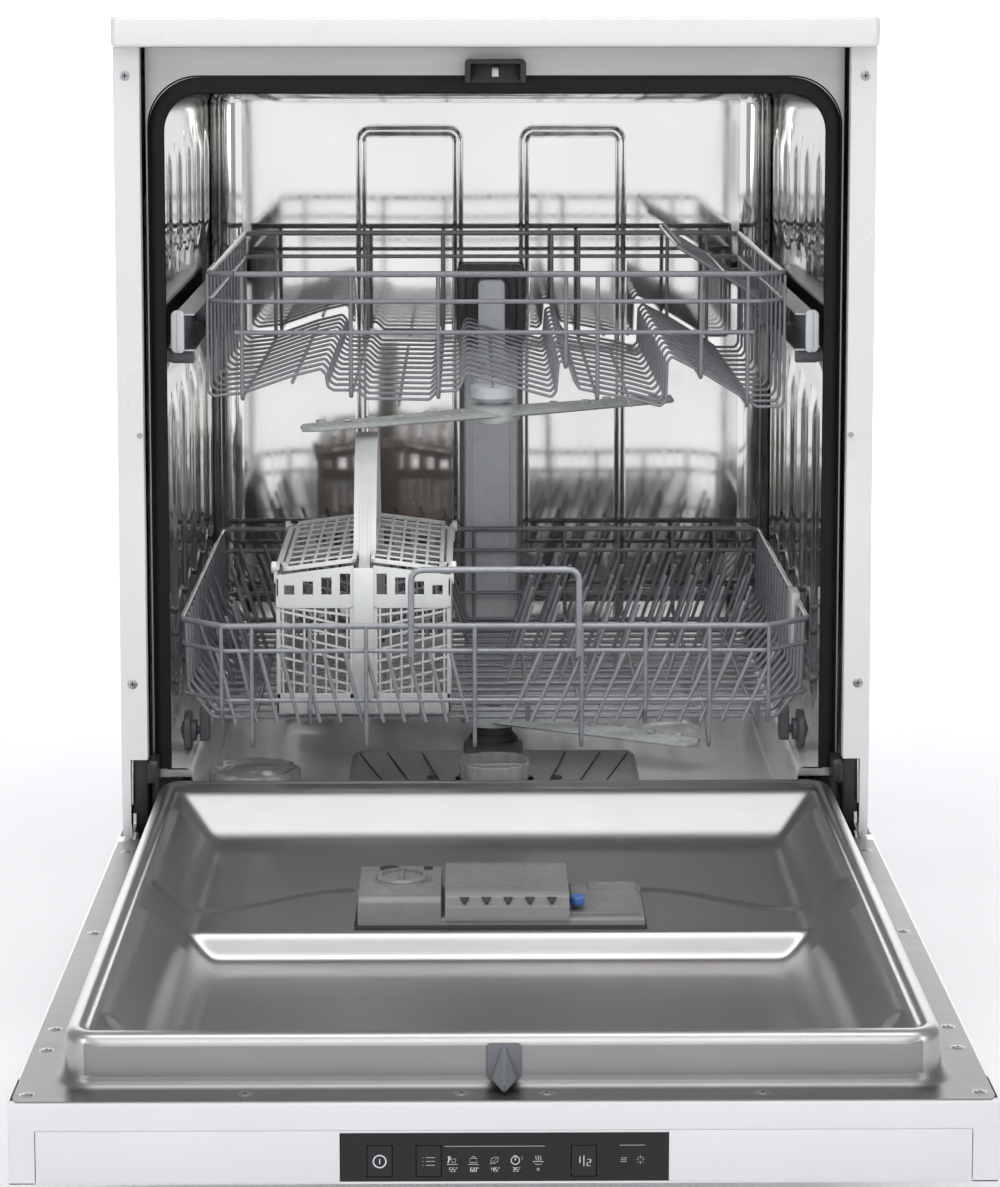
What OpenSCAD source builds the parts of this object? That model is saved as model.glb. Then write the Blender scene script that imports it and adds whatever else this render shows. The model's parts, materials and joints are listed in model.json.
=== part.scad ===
// Free-standing dishwasher, 60 cm class, shown with its door let down.
// Millimetres, +Z up, floor at Z = 0, door opens towards -Y.

/* [Cabinet] */
// Overall width across the side panels
body_w = 598; // [596:1:600]
// Height of the worktop's top face above the floor
body_h = 850; // [846:1:856]
// Thickness of the worktop board
worktop_t = 24; // [20:1:26]
// Thickness of the pressed side panels
panel_t = 1; // [0.8:0.1:1.2]
// Width of the folded front flange of each side panel
flange_w = 20.6; // [16:0.2:20.6]

/* [Door] */
// Height of the hinge axis above the floor
hinge_z = 190.8; // [190.8:0.1:191.4]
// Distance from the hinge axis to the door's top edge
door_reach = 627.2; // [620:0.1:628]
// Distance from the inner flange plane to the front face
door_t = 51.2; // [50:0.1:52]

/* [Racks] */
// Wire diameter of the rack floors and walls
wire_d = 3.2; // [2.8:0.1:3.6]
// Wire diameter of the rack rims
rim_d = 4.6; // [4:0.1:5]
// Wire diameter of the tines
tine_d = 3; // [2.6:0.1:3.4]
// Number of flats on each wire
wire_sides = 6; // [6:1:8]
// Depth of the cutlery basket
basket_d = 235; // [215:1:240]

/* [Fits] */
// Gap between moving pieces and their neighbours
gap = 0.5; // [0.3:0.1:0.8]
// Radial running clearance of shafts and pins
run = 0.05; // [0.02:0.01:0.1]

/* [Hidden] */

y_shift = 47.5;             // moves the front-flange datum so that the open machine is centred on the origin
hx = -14.8;                 // hinge axis, Y
hw = body_w / 2;            // half width
wt_z = body_h - worktop_t;  // underside of the worktop
door_out = hinge_z - 38.4;  // outer face of the open door
door_in = door_out + door_t;// inner flange plane of the open door
door_y = hx - door_reach;   // top edge of the door, which is the near edge when open
rim_z = hinge_z + 46.2;     // raised rim of the liner
sweep_r = 60.5;             // clear radius round the hinge axis for the liner's lower end

module place() { translate([0, y_shift, 0]) children(); }
module box(x0, x1, y0, y1, z0, z1) { translate([x0, y0, z0]) cube([x1 - x0, y1 - y0, z1 - z0]); }
module rr(x0, x1, y0, y1, r) { hull() for (x = [x0 + r, x1 - r], y = [y0 + r, y1 - r]) translate([x, y]) circle(r, $fn = 32); }
module mirror_x() { children(); mirror([1, 0, 0]) children(); }
module along_y(y0, y1) { translate([0, y1, 0]) rotate([90, 0, 0]) linear_extrude(y1 - y0) children(); }  // profile drawn in X, Z
module along_x(x0, x1) { translate([x0, 0, 0]) rotate([90, 0, 90]) linear_extrude(x1 - x0) children(); } // profile drawn in Y, Z
module cx(x0, x1, y, z, r, f = 48) { translate([x0, y, z]) rotate([0, 90, 0]) cylinder(h = x1 - x0, r = r, $fn = f); }
module cy(x, y0, y1, z, r, f = 48) { translate([x, y0, z]) rotate([-90, 0, 0]) cylinder(h = y1 - y0, r = r, $fn = f); }
module cz(x, y, z0, z1, r, f = 48) { translate([x, y, z0]) cylinder(h = z1 - z0, r = r, $fn = f); }
module seg(p, q, d) {
  v = q - p; l = norm(v); e = 0.3 * d;
  translate(p - v / l * e) rotate([0, acos(v[2] / l), atan2(v[1], v[0])]) cylinder(h = l + 2 * e, d = d, $fn = wire_sides);
}
module chain(p, d) { for (i = [0 : len(p) - 2]) seg(p[i], p[i + 1], d); }

// ---- cabinet -------------------------------------------------------------
module side_panel() {
  difference() {
    union() {
      box(-hw, -hw + panel_t, 0, 547, 14, wt_z);
      box(-hw, -hw + flange_w, 0, panel_t, 14, wt_z);
      box(-hw + flange_w - panel_t, -hw + flange_w, 0, 12, 14, wt_z);
      box(-hw, -hw + 16, 547 - panel_t, 547, 14, wt_z);
    }
    box(-hw + 7, -hw + flange_w + 1, -1, 13, 130, 258);   // opening for the door hinge
    for (z = [320, wt_z - 22.5]) cy(-289.6, -1, 2, z, 1.7, 24);
  }
}
module left_side_panel() { color("whitesmoke") place() side_panel(); }
module right_side_panel() { color("whitesmoke") place() mirror([1, 0, 0]) side_panel(); }
module worktop() {
  color("white") place() intersection() {
    translate([0, 0, wt_z]) linear_extrude(worktop_t) rr(-hw, hw, -20, 547, 7);
    along_x(-hw, hw) rr(-20, 547, wt_z, body_h, 3.5);
  }
}
module back_panel() {
  color("silver") place() difference() {
    box(-hw + panel_t, hw - panel_t, 541, 542, 130, wt_z);
    for (z = [200, 480, 760], x = [-290, 290]) cy(x, 540, 543, z, 2, 24);
  }
}
module kick_plate() {
  color("whitesmoke") place() difference() {
    union() {
      box(-hw + 2, hw - 2, 40, 41, 10, 126);
      box(-hw + 2, hw - 2, 40, 52, 125, 126);
      mirror_x() box(-hw + 2, -hw + 3, 40, 58, 10, 126);
    }
    for (x = [-270, 270]) cy(x, 39, 42, 40, 2.2, 24);
  }
}
module base_tray() {
  color("dimgray") place() difference() {
    union() {
      difference() {
        box(-hw + 1.5, hw - 1.5, 58, 530, 22, 128);
        box(-hw + 4.5, hw - 4.5, 61, 527, 25, 129);
      }
      mirror_x() {
        for (y = [90, 508]) cz(-262, y, 20, 52, 16);
        box(-hw + 1.5, -hw + 12, 58, 66, 128, 196);
        box(-hw + 4.5, -240, 300, 304, 25, 120);
      }
    }
    mirror_x() for (y = [90, 508]) cz(-262, y, 10, 45, 5.05);
    // openings in the rear wall for the hoses and the lead
    cy(-215, 520, 545, 70, 12.5);
    cy(-150, 520, 545, 62, 10.3);
    cy(205, 520, 545, 60, 9.3);
  }
}
module feet() {
  color("black") place() mirror_x() for (y = [90, 508]) {
    cz(-262, y, 0, 7, 20);
    cz(-262, y, 7, 20, 11, 6);
    cz(-262, y, 20, 44, 5);
  }
}
module panel_screws() {
  color("gray") place() mirror_x() for (z = [320, wt_z - 22.5]) {
    cy(-289.6, -1.1, 0, z, 3.6, 24);
    cy(-289.6, 0, 8, z, 1.6, 24);
  }
}
module tub_hole() {
  rr(-265, 265, 243, 791, 28);
  translate([-265, 243]) square([530, 60]);
  polygon([[-246, 244], [-241, 205], [241, 205], [246, 244]]);
}
module tub() {
  color("lightsteelblue") place() difference() {
    union() {
      along_y(34, 537) offset(delta = 1) tub_hole();
    }
    difference() { along_y(30, 536) tub_hole(); mirror_x() for (y = [70, 300]) cx(-266, -243.6, y, 576, 2.5, 32); }
    cx(-300, 300, hx, hinge_z, sweep_r, 96);
    cz(0, 129, 195, 215, 66);            // sump
    cz(-201, 120, 195, 215, 35);         // softener neck
    box(-20, 20, 530, 540, 590, 612);    // water feed
    cx(-300, -250, 430, 330, 22);        // air break
  }
}
module tub_front_frame() {
  color("silver") place() difference() {
    along_y(33, 34) difference() {
      translate([-277, 236]) square([554, wt_z - 237]);
      offset(delta = 1) tub_hole();
      for (x = [-271, 271], z = [300, 560]) translate([x, z]) circle(1.7, $fn = 24);
    }
    cx(-300, 300, hx, hinge_z, sweep_r, 96);
  }
}
module door_seal() {
  // lip seal, front face just clear of the shut liner
  color([0.08, 0.08, 0.08]) place() {
    difference() {
      along_y(hx + 46.2 + 0.4, 42) difference() {
        union() { rr(-264.6, 264.6, 243.4, 790.6, 27.6); translate([-264.6, 243.4]) square([529.2, 60]); }
        union() { rr(-260.5, 260.5, 200, 786, 24); translate([-260.5, 200]) square([521, 60]); }
      }
      cx(-300, 300, hx, hinge_z, sweep_r, 96);
    }
  }
}
module door_lock() {
  color([0.1, 0.1, 0.1]) place() difference() {
    box(-24, 24, 2, 33, 797, 816);
    box(-19, 19, -1, 28, 790, 812.5);   // open below for the latch
  }
}
module hinge_brackets() {
  color("gray") place() mirror_x() difference() {
    union() {
      along_x(-290.5, -288) polygon([[-24, 181], [-24, 200], [-8, 204], [0, 206], [1.5, 214], [55, 214], [55, 136], [1.5, 136], [0, 176], [-8, 178]]);
      box(-290.5, -281.5, 16, 18, 140, 250);
      box(-297, -288, 55, 57.5, 136, 196);
    }
    cx(-292, -287, hx, hinge_z, 4.05, 48);
  }
}
module sump() {
  color("dimgray") place() difference() {
    union() { cz(0, 129, 120, 204, 74); cz(0, 129, 203, 205.5, 65.5); }
    cz(0, 129, 126, 206, 62);
    box(-80, 80, 50, 63.5, 110, 210);
    cy(0, 180, 215, 150, 14);
    cx(40, 90, 129, 140, 9);
    // seat of the filter cup
  }
}
module circulation_pump() {
  color("black") place() {
    cy(0, 206, 236, 150, 40);
    cy(0, 236, 322, 150, 34);
    cy(0, 200, 206, 150, 13.7);
    cz(0, 221, 100, 150, 12);
    cz(0, 221, 25, 100, 5);
  }
}
module drain_pump() {
  color("black") place() { cx(76, 112, 129, 150, 22); cx(112, 150, 129, 150, 26); cz(94, 129, 25, 140, 5); }
}
module water_softener() {
  color("whitesmoke") place() difference() {
    union() { box(-265, -130, 66, 250, 60, 185); cz(-201, 120, 185, 207, 34.6); }
    cz(-201, 120, 100, 208, 30);
  }
}
module inlet_valve() {
  // G 3/4 spigot points out of the rear wall
  color("white") place() difference() {
    union() {
      cy(-215, 499, 531, 70, 12);
      cy(-215, 530.4, 546.8, 70, 13.2);
      box(-235, -195, 450, 500, 50, 92);
    }
    cy(-215, 480, 548, 70, 8.5);
  }
}
module drain_spigot() {
  color("gray") place() difference() {
    union() { cy(-150, 504, 531, 62, 9.8); cy(-150, 530.4, 546.8, 62, 10.6); box(-164, -136, 480, 505, 48, 78); }
    cy(-150, 490, 548, 62, 8);
  }
}
module cord_gland() {
  color("black") place() difference() {
    union() { cy(205, 518, 534, 60, 9); cy(205, 530.2, 534, 60, 12); }
    cy(205, 517, 546, 60, 4.5);
  }
}
module rear_water_duct() {
  color("gray") place() difference() {
    union() {
      box(-25.5, 25.5, 524, 535.5, 214, 600);
      box(-33, 33, 516, 535.5, 534, 612);
      cy(0, 502, 516, 587, 17);
      box(-18, 18, 535.5, 540.5, 592, 610);
      box(-14, 14, 262, 524.5, 206, 215);
      cz(0, 270, 206, 244, 9);
    }
    cy(0, 500, 520, 587, 13);
  }
}
module filter_plate() {
  color("silver") place() difference() {
    union() {
      along_y(80, 232) polygon([[-120, 211], [-60, 209], [60, 209], [120, 211], [120, 212], [60, 210], [-60, 210], [-120, 212]]);
      box(-124, -119, 80, 232, 206, 212.5);
      box(119, 124, 80, 232, 206, 212.5);
      cz(0, 129, 206.2, 210, 34);
    }
    cz(0, 129, 200, 215, 29);
    cz(0, 212, 200, 215, 14);
  }
}
module air_break_chamber() {
  color("lightgray") place() { box(-296, -268, 200, 500, 150, 700); cx(-268, -263, 430, 330, 21.5); }
}
module counterbalance_springs() {
  color("gray") place() mirror_x() {
    cy(-275, 316, 482, 40, 3, 8);
    for (i = [0 : 15]) translate([-275, 330 + i * 9, 40]) rotate([90, 0, 0]) rotate_extrude($fn = 32) translate([6.4, 0]) circle(2.2, $fn = 16);
    for (y = [314, 480]) box(-280, -270, y, y + 4, 25, 50);
  }
}

// ---- door, drawn open ----------------------------------------------------
module outer_door_panel() {
  color("whitesmoke") place() difference() {
    union() {
      box(-hw, hw, -598, -4, door_out, door_out + 1);
      mirror_x() {
        box(-hw, -hw + 1, -598, -4, door_out, door_in);
        box(-hw, -hw + 27, -598, -30, door_in - 1, door_in);
      }
      box(-hw, hw, -5, -4, door_out, door_out + 20);
    }
    for (x = [-288, 288], y = [-546, -505, -294, -78]) cz(x, y, door_in - 3, door_in + 2, 1.9, 24);
    mirror_x() box(-293, -280, -43, -3, door_in - 12, door_in + 1);
    mirror_x() cx(-300, -297, -40, 175, 2, 24);
    // corner that swings closest to the cabinet
    mirror_x() along_x(-300, -290) polygon([[-8.6, 204.7], [-8.6, 204.2], [-3, 198.6], [-3, 204.7]]);
  }
}
module liner_path(o) {
  // centre floor of the liner, in Y, Z, offset down by o
  polygon([[-606, rim_z - o], [-604, rim_z - o], [-586, 187 - o], [-306, 187 - o], [-292, 204 - o], [-54, 204 - o], [-18, rim_z - o], [-16, rim_z - o],
    [-16, rim_z + 2], [-606, rim_z + 2]]);
}
module door_liner() {
  color("silver") place() difference() {
    union() {
      difference() {
        translate([0, 0, door_in]) linear_extrude(rim_z - door_in) rr(-270, 270, -616, 22, 22);
        translate([0, 0, door_in - 1]) linear_extrude(rim_z - door_in) rr(-269, 269, -615, 21, 21);
      }
      // flange round the pan, lying on the edges of the door
      difference() {
        box(-297.5, 297.5, -640.5, -9.2, door_in, door_in + 0.6);
        translate([0, 0, door_in - 1]) linear_extrude(3) rr(-269.4, 269.4, -615.4, 21.4, 21.4);
        mirror_x() box(-293.5, -279.5, -44, -3, door_in - 1, door_in + 2);
        for (x = [-288, 288], y = [-546, -505, -294, -78]) cz(x, y, door_in - 1, door_in + 2, 3.9, 24);
        for (x = [-289, -157, -26, 26, 157, 289]) cz(x, -628, door_in - 1, door_in + 2, 3.9, 24);
      }
      intersection() {
        box(-256, 256, -606, -16, 180, rim_z);
        difference() {
          translate([0, 0, 180]) linear_extrude(80) rr(-256, 256, -606, -16, 14);
          along_x(-255, 255) liner_path(0);
          difference() { translate([0, 0, 150]) linear_extrude(100) rr(-255, 255, -605, -17, 13); along_x(-260, 260) union() { liner_path(1); } }
        }
      }
    }
    along_x(-255, 255) liner_path(0);
    box(-102.5, 105.5, -282, -195.5, 200, 206);        // dispenser opening
  }
}
module control_fascia() {
  color("white") place() difference() {
    union() {
      box(-hw, hw, door_y, -599, door_out, door_out + 3);
      box(-hw, hw, door_y, door_y + 4, door_out, door_in);
      mirror_x() box(-hw, -hw + 3, door_y, -599, door_out, door_in);
      box(-hw, hw, door_y, -618, door_in - 3, door_in);
      mirror_x() box(-hw, -270.6, -619, -598.4, door_in - 3, door_in);
    }
    box(-99.4, 99.4, door_y - 1, door_y + 5, 153.6, 184.4);
    for (x = [-289, -157, -26, 26, 157, 289]) cz(x, -628, door_in - 4, door_in + 1, 1.9, 24);
  }
}
module button_cut(x, g) { box(x - 7.85 - g, x + 7.85 + g, door_y - 2, door_y + 6, 156.7 - g, 176.5 + g); }
module control_window() {
  color([0.05, 0.05, 0.06]) place() difference() {
    box(-99, 99, door_y + 0.4, door_y + 3, 154, 184);
    for (x = [-75.3, -45.7, 48]) button_cut(x, 0);
  }
}
module control_board() {
  color("darkgreen") place() { box(-96, 96, door_y + 14, door_y + 15.6, 156, 183); for (x = [-75.3, -45.7, 48]) box(x - 3, x + 3, door_y + 11, door_y + 14, 163, 169); box(-15, 35, door_y + 15.6, door_y + 30, 160, 180); }
}
module push(x) {
  color([0.12, 0.12, 0.13]) place() union() {
    box(x - 7.85 + gap, x + 7.85 - gap, door_y + 0.2, door_y + 4.6, 156.7 + gap, 176.5 - gap);
    box(x - 2, x + 2, door_y + 4.6, door_y + 9, 163.5, 168.5);
  }
}
module power_button() { push(-75.3); }
module program_button() { push(-45.7); }
module half_load_button() { push(48); }
module latch_hook() {
  // plate on the pan's front wall with a wedge that enters the lock
  color("gray") place() union() {
    along_y(-620.6, -616.3) polygon([[-10.7, 232], [10.7, 232], [10.7, 212], [7.5, 208.5], [-7.5, 208.5], [-10.7, 212]]);
    hull() {
      box(-2, 2, -621, -620, 205.8, 231);
      box(-7.6, 7.6, -621, -620, 208.6, 211.6);
      box(-0.4, 0.4, -625.5, -625, 221, 221.8);
      box(-7, 7, -625.2, -624.8, 211.2, 211.6);
      box(-0.4, 0.4, -634, -633.4, 205.8, 206.4);
    }
  }
}
module dispenser_body() {
  color("slategray") place() difference() {
    union() {
      box(-101, -41, -281, -196.5, 188, 226);
      box(-41, 104, -281, -196.5, 188, 211.5);
      for (y = [-278, -200.5]) box(-40, 100, y, y + 1.5, 211.5, 213.5);
    }
    box(-36, 12, -272, -206, 192, 212);           // powder chamber
    cz(-70, -232, 200, 227, 14.05);                // rinse-aid filler
  }
}
module rinse_aid_cap() {
  color("slategray") place() { cz(-70, -232, 204, 226.4, 14); cz(-70, -232, 226.3, 229, 19); box(-86, -54, -234, -230, 229, 232); }
}
module dispenser_lid() {
  color("slategray") place() difference() {
    box(-39, 51, -283, -194.5, 212, 229);
    box(-37, 52, -281.6, -196, 211, 226.5);
    for (i = [0 : 4]) along_y(-284, -281) polygon([[-28 + i * 15.6, 224], [-21 + i * 15.6, 224], [-24.5 + i * 15.6, 216.5]]);
    // room for the guide strips of the body
    for (y = [-278, -200.5]) box(-40, -36, y - 0.4, y + 1.9, 211, 213.9);
  }
}
module lid_release_tab() {
  color("royalblue") place() { box(51.4, 64, -272, -252, 216, 222); }
}
module door_screws() {
  color("gray") place() {
    for (x = [-288, 288], y = [-546, -505, -294, -78]) { cz(x, y, door_in, door_in + 0.6, 3.6, 24); cz(x, y, door_in - 3, door_in, 1.8, 24); }
    for (x = [-289, -157, -26, 26, 157, 289]) { cz(x, -628, door_in, door_in + 0.6, 3.6, 24); cz(x, -628, door_in - 8, door_in, 1.8, 24); }
  }
}
module hinge_arms() {
  color("silver") place() mirror_x() difference() {
    union() {
      along_x(-287.5, -285.5) polygon([[-150, 165], [-30, 165], [-22, 172], [-2, 180], [-4, 200], [-22, 205], [-36, 199], [-150, 199]]);
      cx(-290.4, -285.5, hx, hinge_z, 4, 48);
    }
    cx(-288, -285, -90, 180, 2, 24);
  }
}
module door_insulation() { color([0.15, 0.15, 0.15]) place() box(-280, 280, -590, -60, door_out + 1, door_out + 5); }

// ---- lower rack ----------------------------------------------------------
lr_y0 = 40; lr_y1 = 512; lr_x = 256;
lower_low = 275;
module corner_ring(x, y0, y1, z, d, cxx, cyy) {
  chain([[-x, y1, z], [-x, y0 + cyy, z], [-x + cxx, y0, z], [x - cxx, y0, z], [x, y0 + cyy, z], [x, y1, z], [-x, y1, z]], d);
}
module lower_rack_frame() {
  color([0.3, 0.31, 0.33]) place() {
    corner_ring(lr_x, lr_y0, lr_y1, 358.5, rim_d, 36, 30);
    corner_ring(lr_x - 0.5, lr_y0 + 1, lr_y1 - 1, 332, wire_d, 36, 30);
    corner_ring(lr_x - 1.5, lr_y0 + 2, lr_y1 - 2, 300, wire_d, 36, 30);
    // floor wires across, each turned up into the side walls
    for (y = [95, 150, 205, 260, 315, 370, 425, 480])
      chain([[-lr_x + 2, y, 358], [-lr_x + 6, y, 290], [-lr_x + 22, y, lower_low], [lr_x - 22, y, lower_low], [lr_x - 6, y, 290], [lr_x - 2, y, 358]], wire_d);
    // floor wires from front to back, each with a front hook
    for (x = [-197.4, -104.6, -16.6, 70.3, 173.9])
      chain([[x, lr_y0 + 2, 358], [x, lr_y0 + 3, 258], [x, lr_y0 + 20, 258], [x, lr_y0 + 34, lower_low + 2.4], [x, lr_y1 - 12, lower_low + 2.4], [x, lr_y1 - 2, 290], [x, lr_y1 - 2, 358]], wire_d);
    // front loop handle
    chain([[-68, lr_y0 + 1, 300], [-68, lr_y0 + 1, 392], [-56, lr_y0 + 1, 405], [56, lr_y0 + 1, 405], [68, lr_y0 + 1, 392], [68, lr_y0 + 1, 300]], 5.4);
    // fixed tines
    for (y = [425, 480], i = [0 : 8]) for (s = [-1, 1]) seg([s * (28 + i * 24), y, lower_low], [s * (37 + i * 24), y, 350], tine_d);
    for (y = [260, 315], i = [0 : 8]) seg([14 + i * 24, y, lower_low], [23 + i * 24, y, 350], tine_d);
    // axle brackets
    mirror_x() for (y = [95, 425]) box(-244, -236, y - 5, y + 5, 254, 277);
    for (s = [-1, 1], y = [95, 425]) cx(s < 0 ? -260 : 240, s < 0 ? -240 : 260, y, 260.5, 3.5, 32);
  }
}
module wheel_pair(y) {
  color("gray") place() mirror_x() difference() {
    union() { cx(-257, -251, y, 260.5, 16.5); cx(-259, -247, y, 260.5, 9); }
    cx(-260, -246, y, 260.5, 3.5 + run, 32);
  }
}
module front_wheels() { wheel_pair(95); }
module rear_wheels() { wheel_pair(425); }
module fold_row(x0, n, y, s) {
  seg([x0, y, 281.5], [x0 + (n - 1) * 24 + 8, y, 281.5], wire_d + 0.6);
  for (i = [0 : n - 1]) seg([x0 + 4 + i * 24, y, 281.5], [x0 + 4 + i * 24 + s * 9, y, 350], tine_d);
}
module right_fold_tines() {
  color([0.3, 0.31, 0.33]) place() fold_row(10, 9, 178, 1);
}
module left_fold_tines() {
  color([0.3, 0.31, 0.33]) place() fold_row(-240, 2, 178, -1);
}
bk_x0 = -179; bk_x1 = -36; bk_y0 = 68; bk_z0 = 280; bk_z1 = 396;
module cutlery_basket() {
  color("gainsboro") place() difference() {
    union() {
      difference() {
        box(bk_x0, bk_x1, bk_y0, bk_y0 + basket_d, bk_z0, bk_z1);
        box(bk_x0 + 3, -109, bk_y0 + 3, bk_y0 + basket_d - 3, bk_z0 + 3, bk_z1 + 1);
        box(-106, bk_x1 - 3, bk_y0 + 3, bk_y0 + basket_d - 3, bk_z0 + 3, bk_z1 + 1);
      }
      // arched carrying handle
      along_x(-112, -103) polygon([[bk_y0 + 20, 392], [bk_y0 + 32, 392], [bk_y0 + 70, 470], [bk_y0 + 95, 486], [bk_y0 + 140, 486], [bk_y0 + 165, 470], [bk_y0 + 203, 392], [bk_y0 + 215, 392],
        [bk_y0 + 176, 478], [bk_y0 + 144, 496], [bk_y0 + 91, 496], [bk_y0 + 59, 478]]);
      for (x = [bk_x0, bk_x1]) for (y = [bk_y0 + 12, bk_y0 + basket_d - 20]) box(x - 3, x + 3, y, y + 8, 386, 402);
    }
    // windows
    for (i = [0 : 4], s = [0, 1]) box(bk_x0 + 10 + s * 74 + i * 11.4, bk_x0 + 17 + s * 74 + i * 11.4, bk_y0 - 1, bk_y0 + basket_d + 1, 300, 372);
    for (i = [0 : 13]) box(bk_x0 - 4, bk_x1 + 4, bk_y0 + 22 + i * 14, bk_y0 + 30 + i * 14, 300, 372);
    for (i = [0 : 13]) for (x = [bk_x0 + 14, bk_x0 + 46, bk_x0 + 88, bk_x0 + 120]) box(x, x + 10, bk_y0 + 12 + i * 15, bk_y0 + 21 + i * 15, bk_z0 - 1, bk_z0 + 4);
    for (x = [bk_x0, bk_x1]) cy(x, bk_y0 + 10, bk_y0 + basket_d - 10, 399, 2.05, 24);
  }
}
module basket_lid(x0, x1) {
  difference() {
    union() {
      box(x0, x1, bk_y0 + 2, bk_y0 + basket_d - 2, 397, 400);
    }
    for (i = [0 : 12], k = [0 : 3]) box(x0 + 8 + k * 15, x0 + 19 + k * 15, bk_y0 + 10 + i * 17, bk_y0 + 22 + i * 17, 396, 401);
  }
}
module left_basket_lid() {
  color("gainsboro") place() union() {
    difference() { basket_lid(-179, -112.5); for (y = [bk_y0 + 11, bk_y0 + basket_d - 21]) box(-184, -173.6, y, y + 10, 390, 404); }
    cy(-179, bk_y0 + 11, bk_y0 + basket_d - 11, 399, 2, 24);
  }
}
module right_basket_lid() {
  color("gainsboro") place() union() {
    difference() { basket_lid(-102.5, -36); for (y = [bk_y0 + 11, bk_y0 + basket_d - 21]) box(-41.4, -30, y, y + 10, 390, 404); }
    cy(-36, bk_y0 + 11, bk_y0 + basket_d - 11, 399, 2, 24);
  }
}

// ---- upper rack ----------------------------------------------------------
ur_y0 = 45; ur_y1 = 492;
module ur_profile(y) {
  chain([[-231, y, 644], [-231, y, 548], [-203, y, 548], [-139, y, 567], [-131, y, 550], [-104, y, 543], [-52, y, 543], [-30, y, 550], [-22, y, 564],
    [46, y, 545], [53, y, 574], [60, y, 572], [68, y, 551], [134, y, 538], [139, y, 576], [146, y, 575], [211, y, 537], [232, y, 538], [232, y, 642]], wire_d);
}
module upper_rack_frame() {
  color([0.3, 0.31, 0.33]) place() {
    chain([[-232, ur_y1, 644], [-232, ur_y0, 644], [232, ur_y0, 644], [232, ur_y1, 644], [-232, ur_y1, 644]], rim_d);
    chain([[-232, ur_y1, 621], [-232, ur_y0, 621], [232, ur_y0, 621], [232, ur_y1, 621], [-232, ur_y1, 621]], wire_d);
    chain([[-209, ur_y0 + 1, 597], [208, ur_y0 + 1, 597]], wire_d);
    for (y = [50, 105, 160, 215, 270, 325, 380, 435, 487]) ur_profile(y);
    for (x = [-203.2, -115.9, -45.7, 82.3, 165.7, 203.1]) {
      z = x < -200 ? 546 : x < -110 ? 545 : x < -40 ? 543 : x < 90 ? 547 : x < 170 ? 562 : 542;
      chain([[x, ur_y0, 644], [x, ur_y0, z - 1], [x, ur_y1, z - 1], [x, ur_y1, 644]], wire_d);
    }
    // runner brackets and stub axles on each side
    for (s = [-1, 1]) for (y = [240, 420]) { box(s < 0 ? -239 : 231, s < 0 ? -231 : 239, y - 12, y + 12, 585, 625); cx(s < 0 ? -255 : 238, s < 0 ? -238 : 255, y, 598, 13, 32); }
  }
}
module rail(s) {
  color("silver") place() difference() {
    box(s < 0 ? -258 : 240, s < 0 ? -240 : 258, 38, 505, 583, 613);
    box(s < 0 ? -256.8 : 239, s < 0 ? -239 : 256.8, 37, 506, 584.2, 611.8);
  }
}
module left_rail() { rail(-1); }
module right_rail() { rail(1); }
module rail_end_caps() { color("dimgray") place() mirror_x() { box(-259, -248.5, 32.4, 38, 582, 616); box(-254.5, -248.5, 26, 33, 582, 616); } }
module rail_roller(y) {
  color("gray") place() mirror_x() difference() { cx(-262, -244, y, 576, 6.5); cx(-263, -243, y, 576, 2.5 + run, 32); }
}
module front_rail_rollers() { rail_roller(70); }
module rear_rail_rollers() { rail_roller(300); }
module upper_arm_feed() {
  color("dimgray") place() {
    box(-12, 12, 245, 470, 515, 527);
    cy(0, 470, 501, 587, 12);
    box(-12, 12, 455, 470, 515, 600);
    cz(0, 245, 500, 530, 9);
    cz(0, 245, 497, 500, 14);
  }
}
module arm(r, hub, h, z, y, a, bore) {
  translate([0, y, z]) rotate([0, 0, a]) difference() {
    union() {
      linear_extrude(h) hull() { translate([-r + 16, 0]) circle(16, $fn = 32); translate([r - 16, 0]) circle(16, $fn = 32); circle(25, $fn = 32); }
      translate([0, 0, -2]) cylinder(h = h + 6, r = hub, $fn = 48);
    }
    translate([0, 0, -5]) cylinder(h = h + 20, r = bore, $fn = 48);
    for (s = [-1, 1], i = [0 : 4]) translate([s * (50 + i * 28), (i % 2) * 6 - 3, h - 3]) cylinder(h = 5, r = 1.6, $fn = 6);
  }
}
module upper_spray_arm() { color("gray") place() arm(188, 24, 8, 502.6, 245, 30, 9 + run); }
module cup_shelf() {
  color([0.3, 0.31, 0.33]) place() translate([228 - 4.2, 0, 612]) rotate([0, 32, 0]) {
    seg([0, 190, 0], [0, 440, 0], wire_d + 0.6);
    for (i = [0 : 6]) seg([0, 200 + i * 38, 0], [-78, 200 + i * 38, 0], wire_d);
    seg([-30, 196, 1], [-30, 434, 1], wire_d);
    seg([-78, 196, 0], [-78, 434, 0], wire_d);
  }
}
// ---- bottom of the tub ---------------------------------------------------
module lower_spray_arm() { color("gray") place() arm(205, 30, 9, 229, 270, -33, 9 + run); }
module filter_cup() {
  color("dimgray") place() difference() {
    union() {
      cz(0, 129, 150, 212, 28.4);
      cz(0, 129, 212, 219, 30);
      box(-26, 26, 127, 131, 219, 226);
      box(-2, 2, 103, 155, 219, 226);
    }
    difference() { cz(0, 129, 149, 208, 26); }
  }
}
module salt_cap() {
  color("gray") place() union() {
    cz(-201, 120, 190, 208.4, 29.8);
    difference() { cz(-201, 120, 208, 222, 38.5); for (a = [0 : 45 : 315]) translate([-201 + 42 * cos(a), 120 + 42 * sin(a), 207]) cylinder(h = 16, r = 7, $fn = 32); }
  }
}

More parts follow.
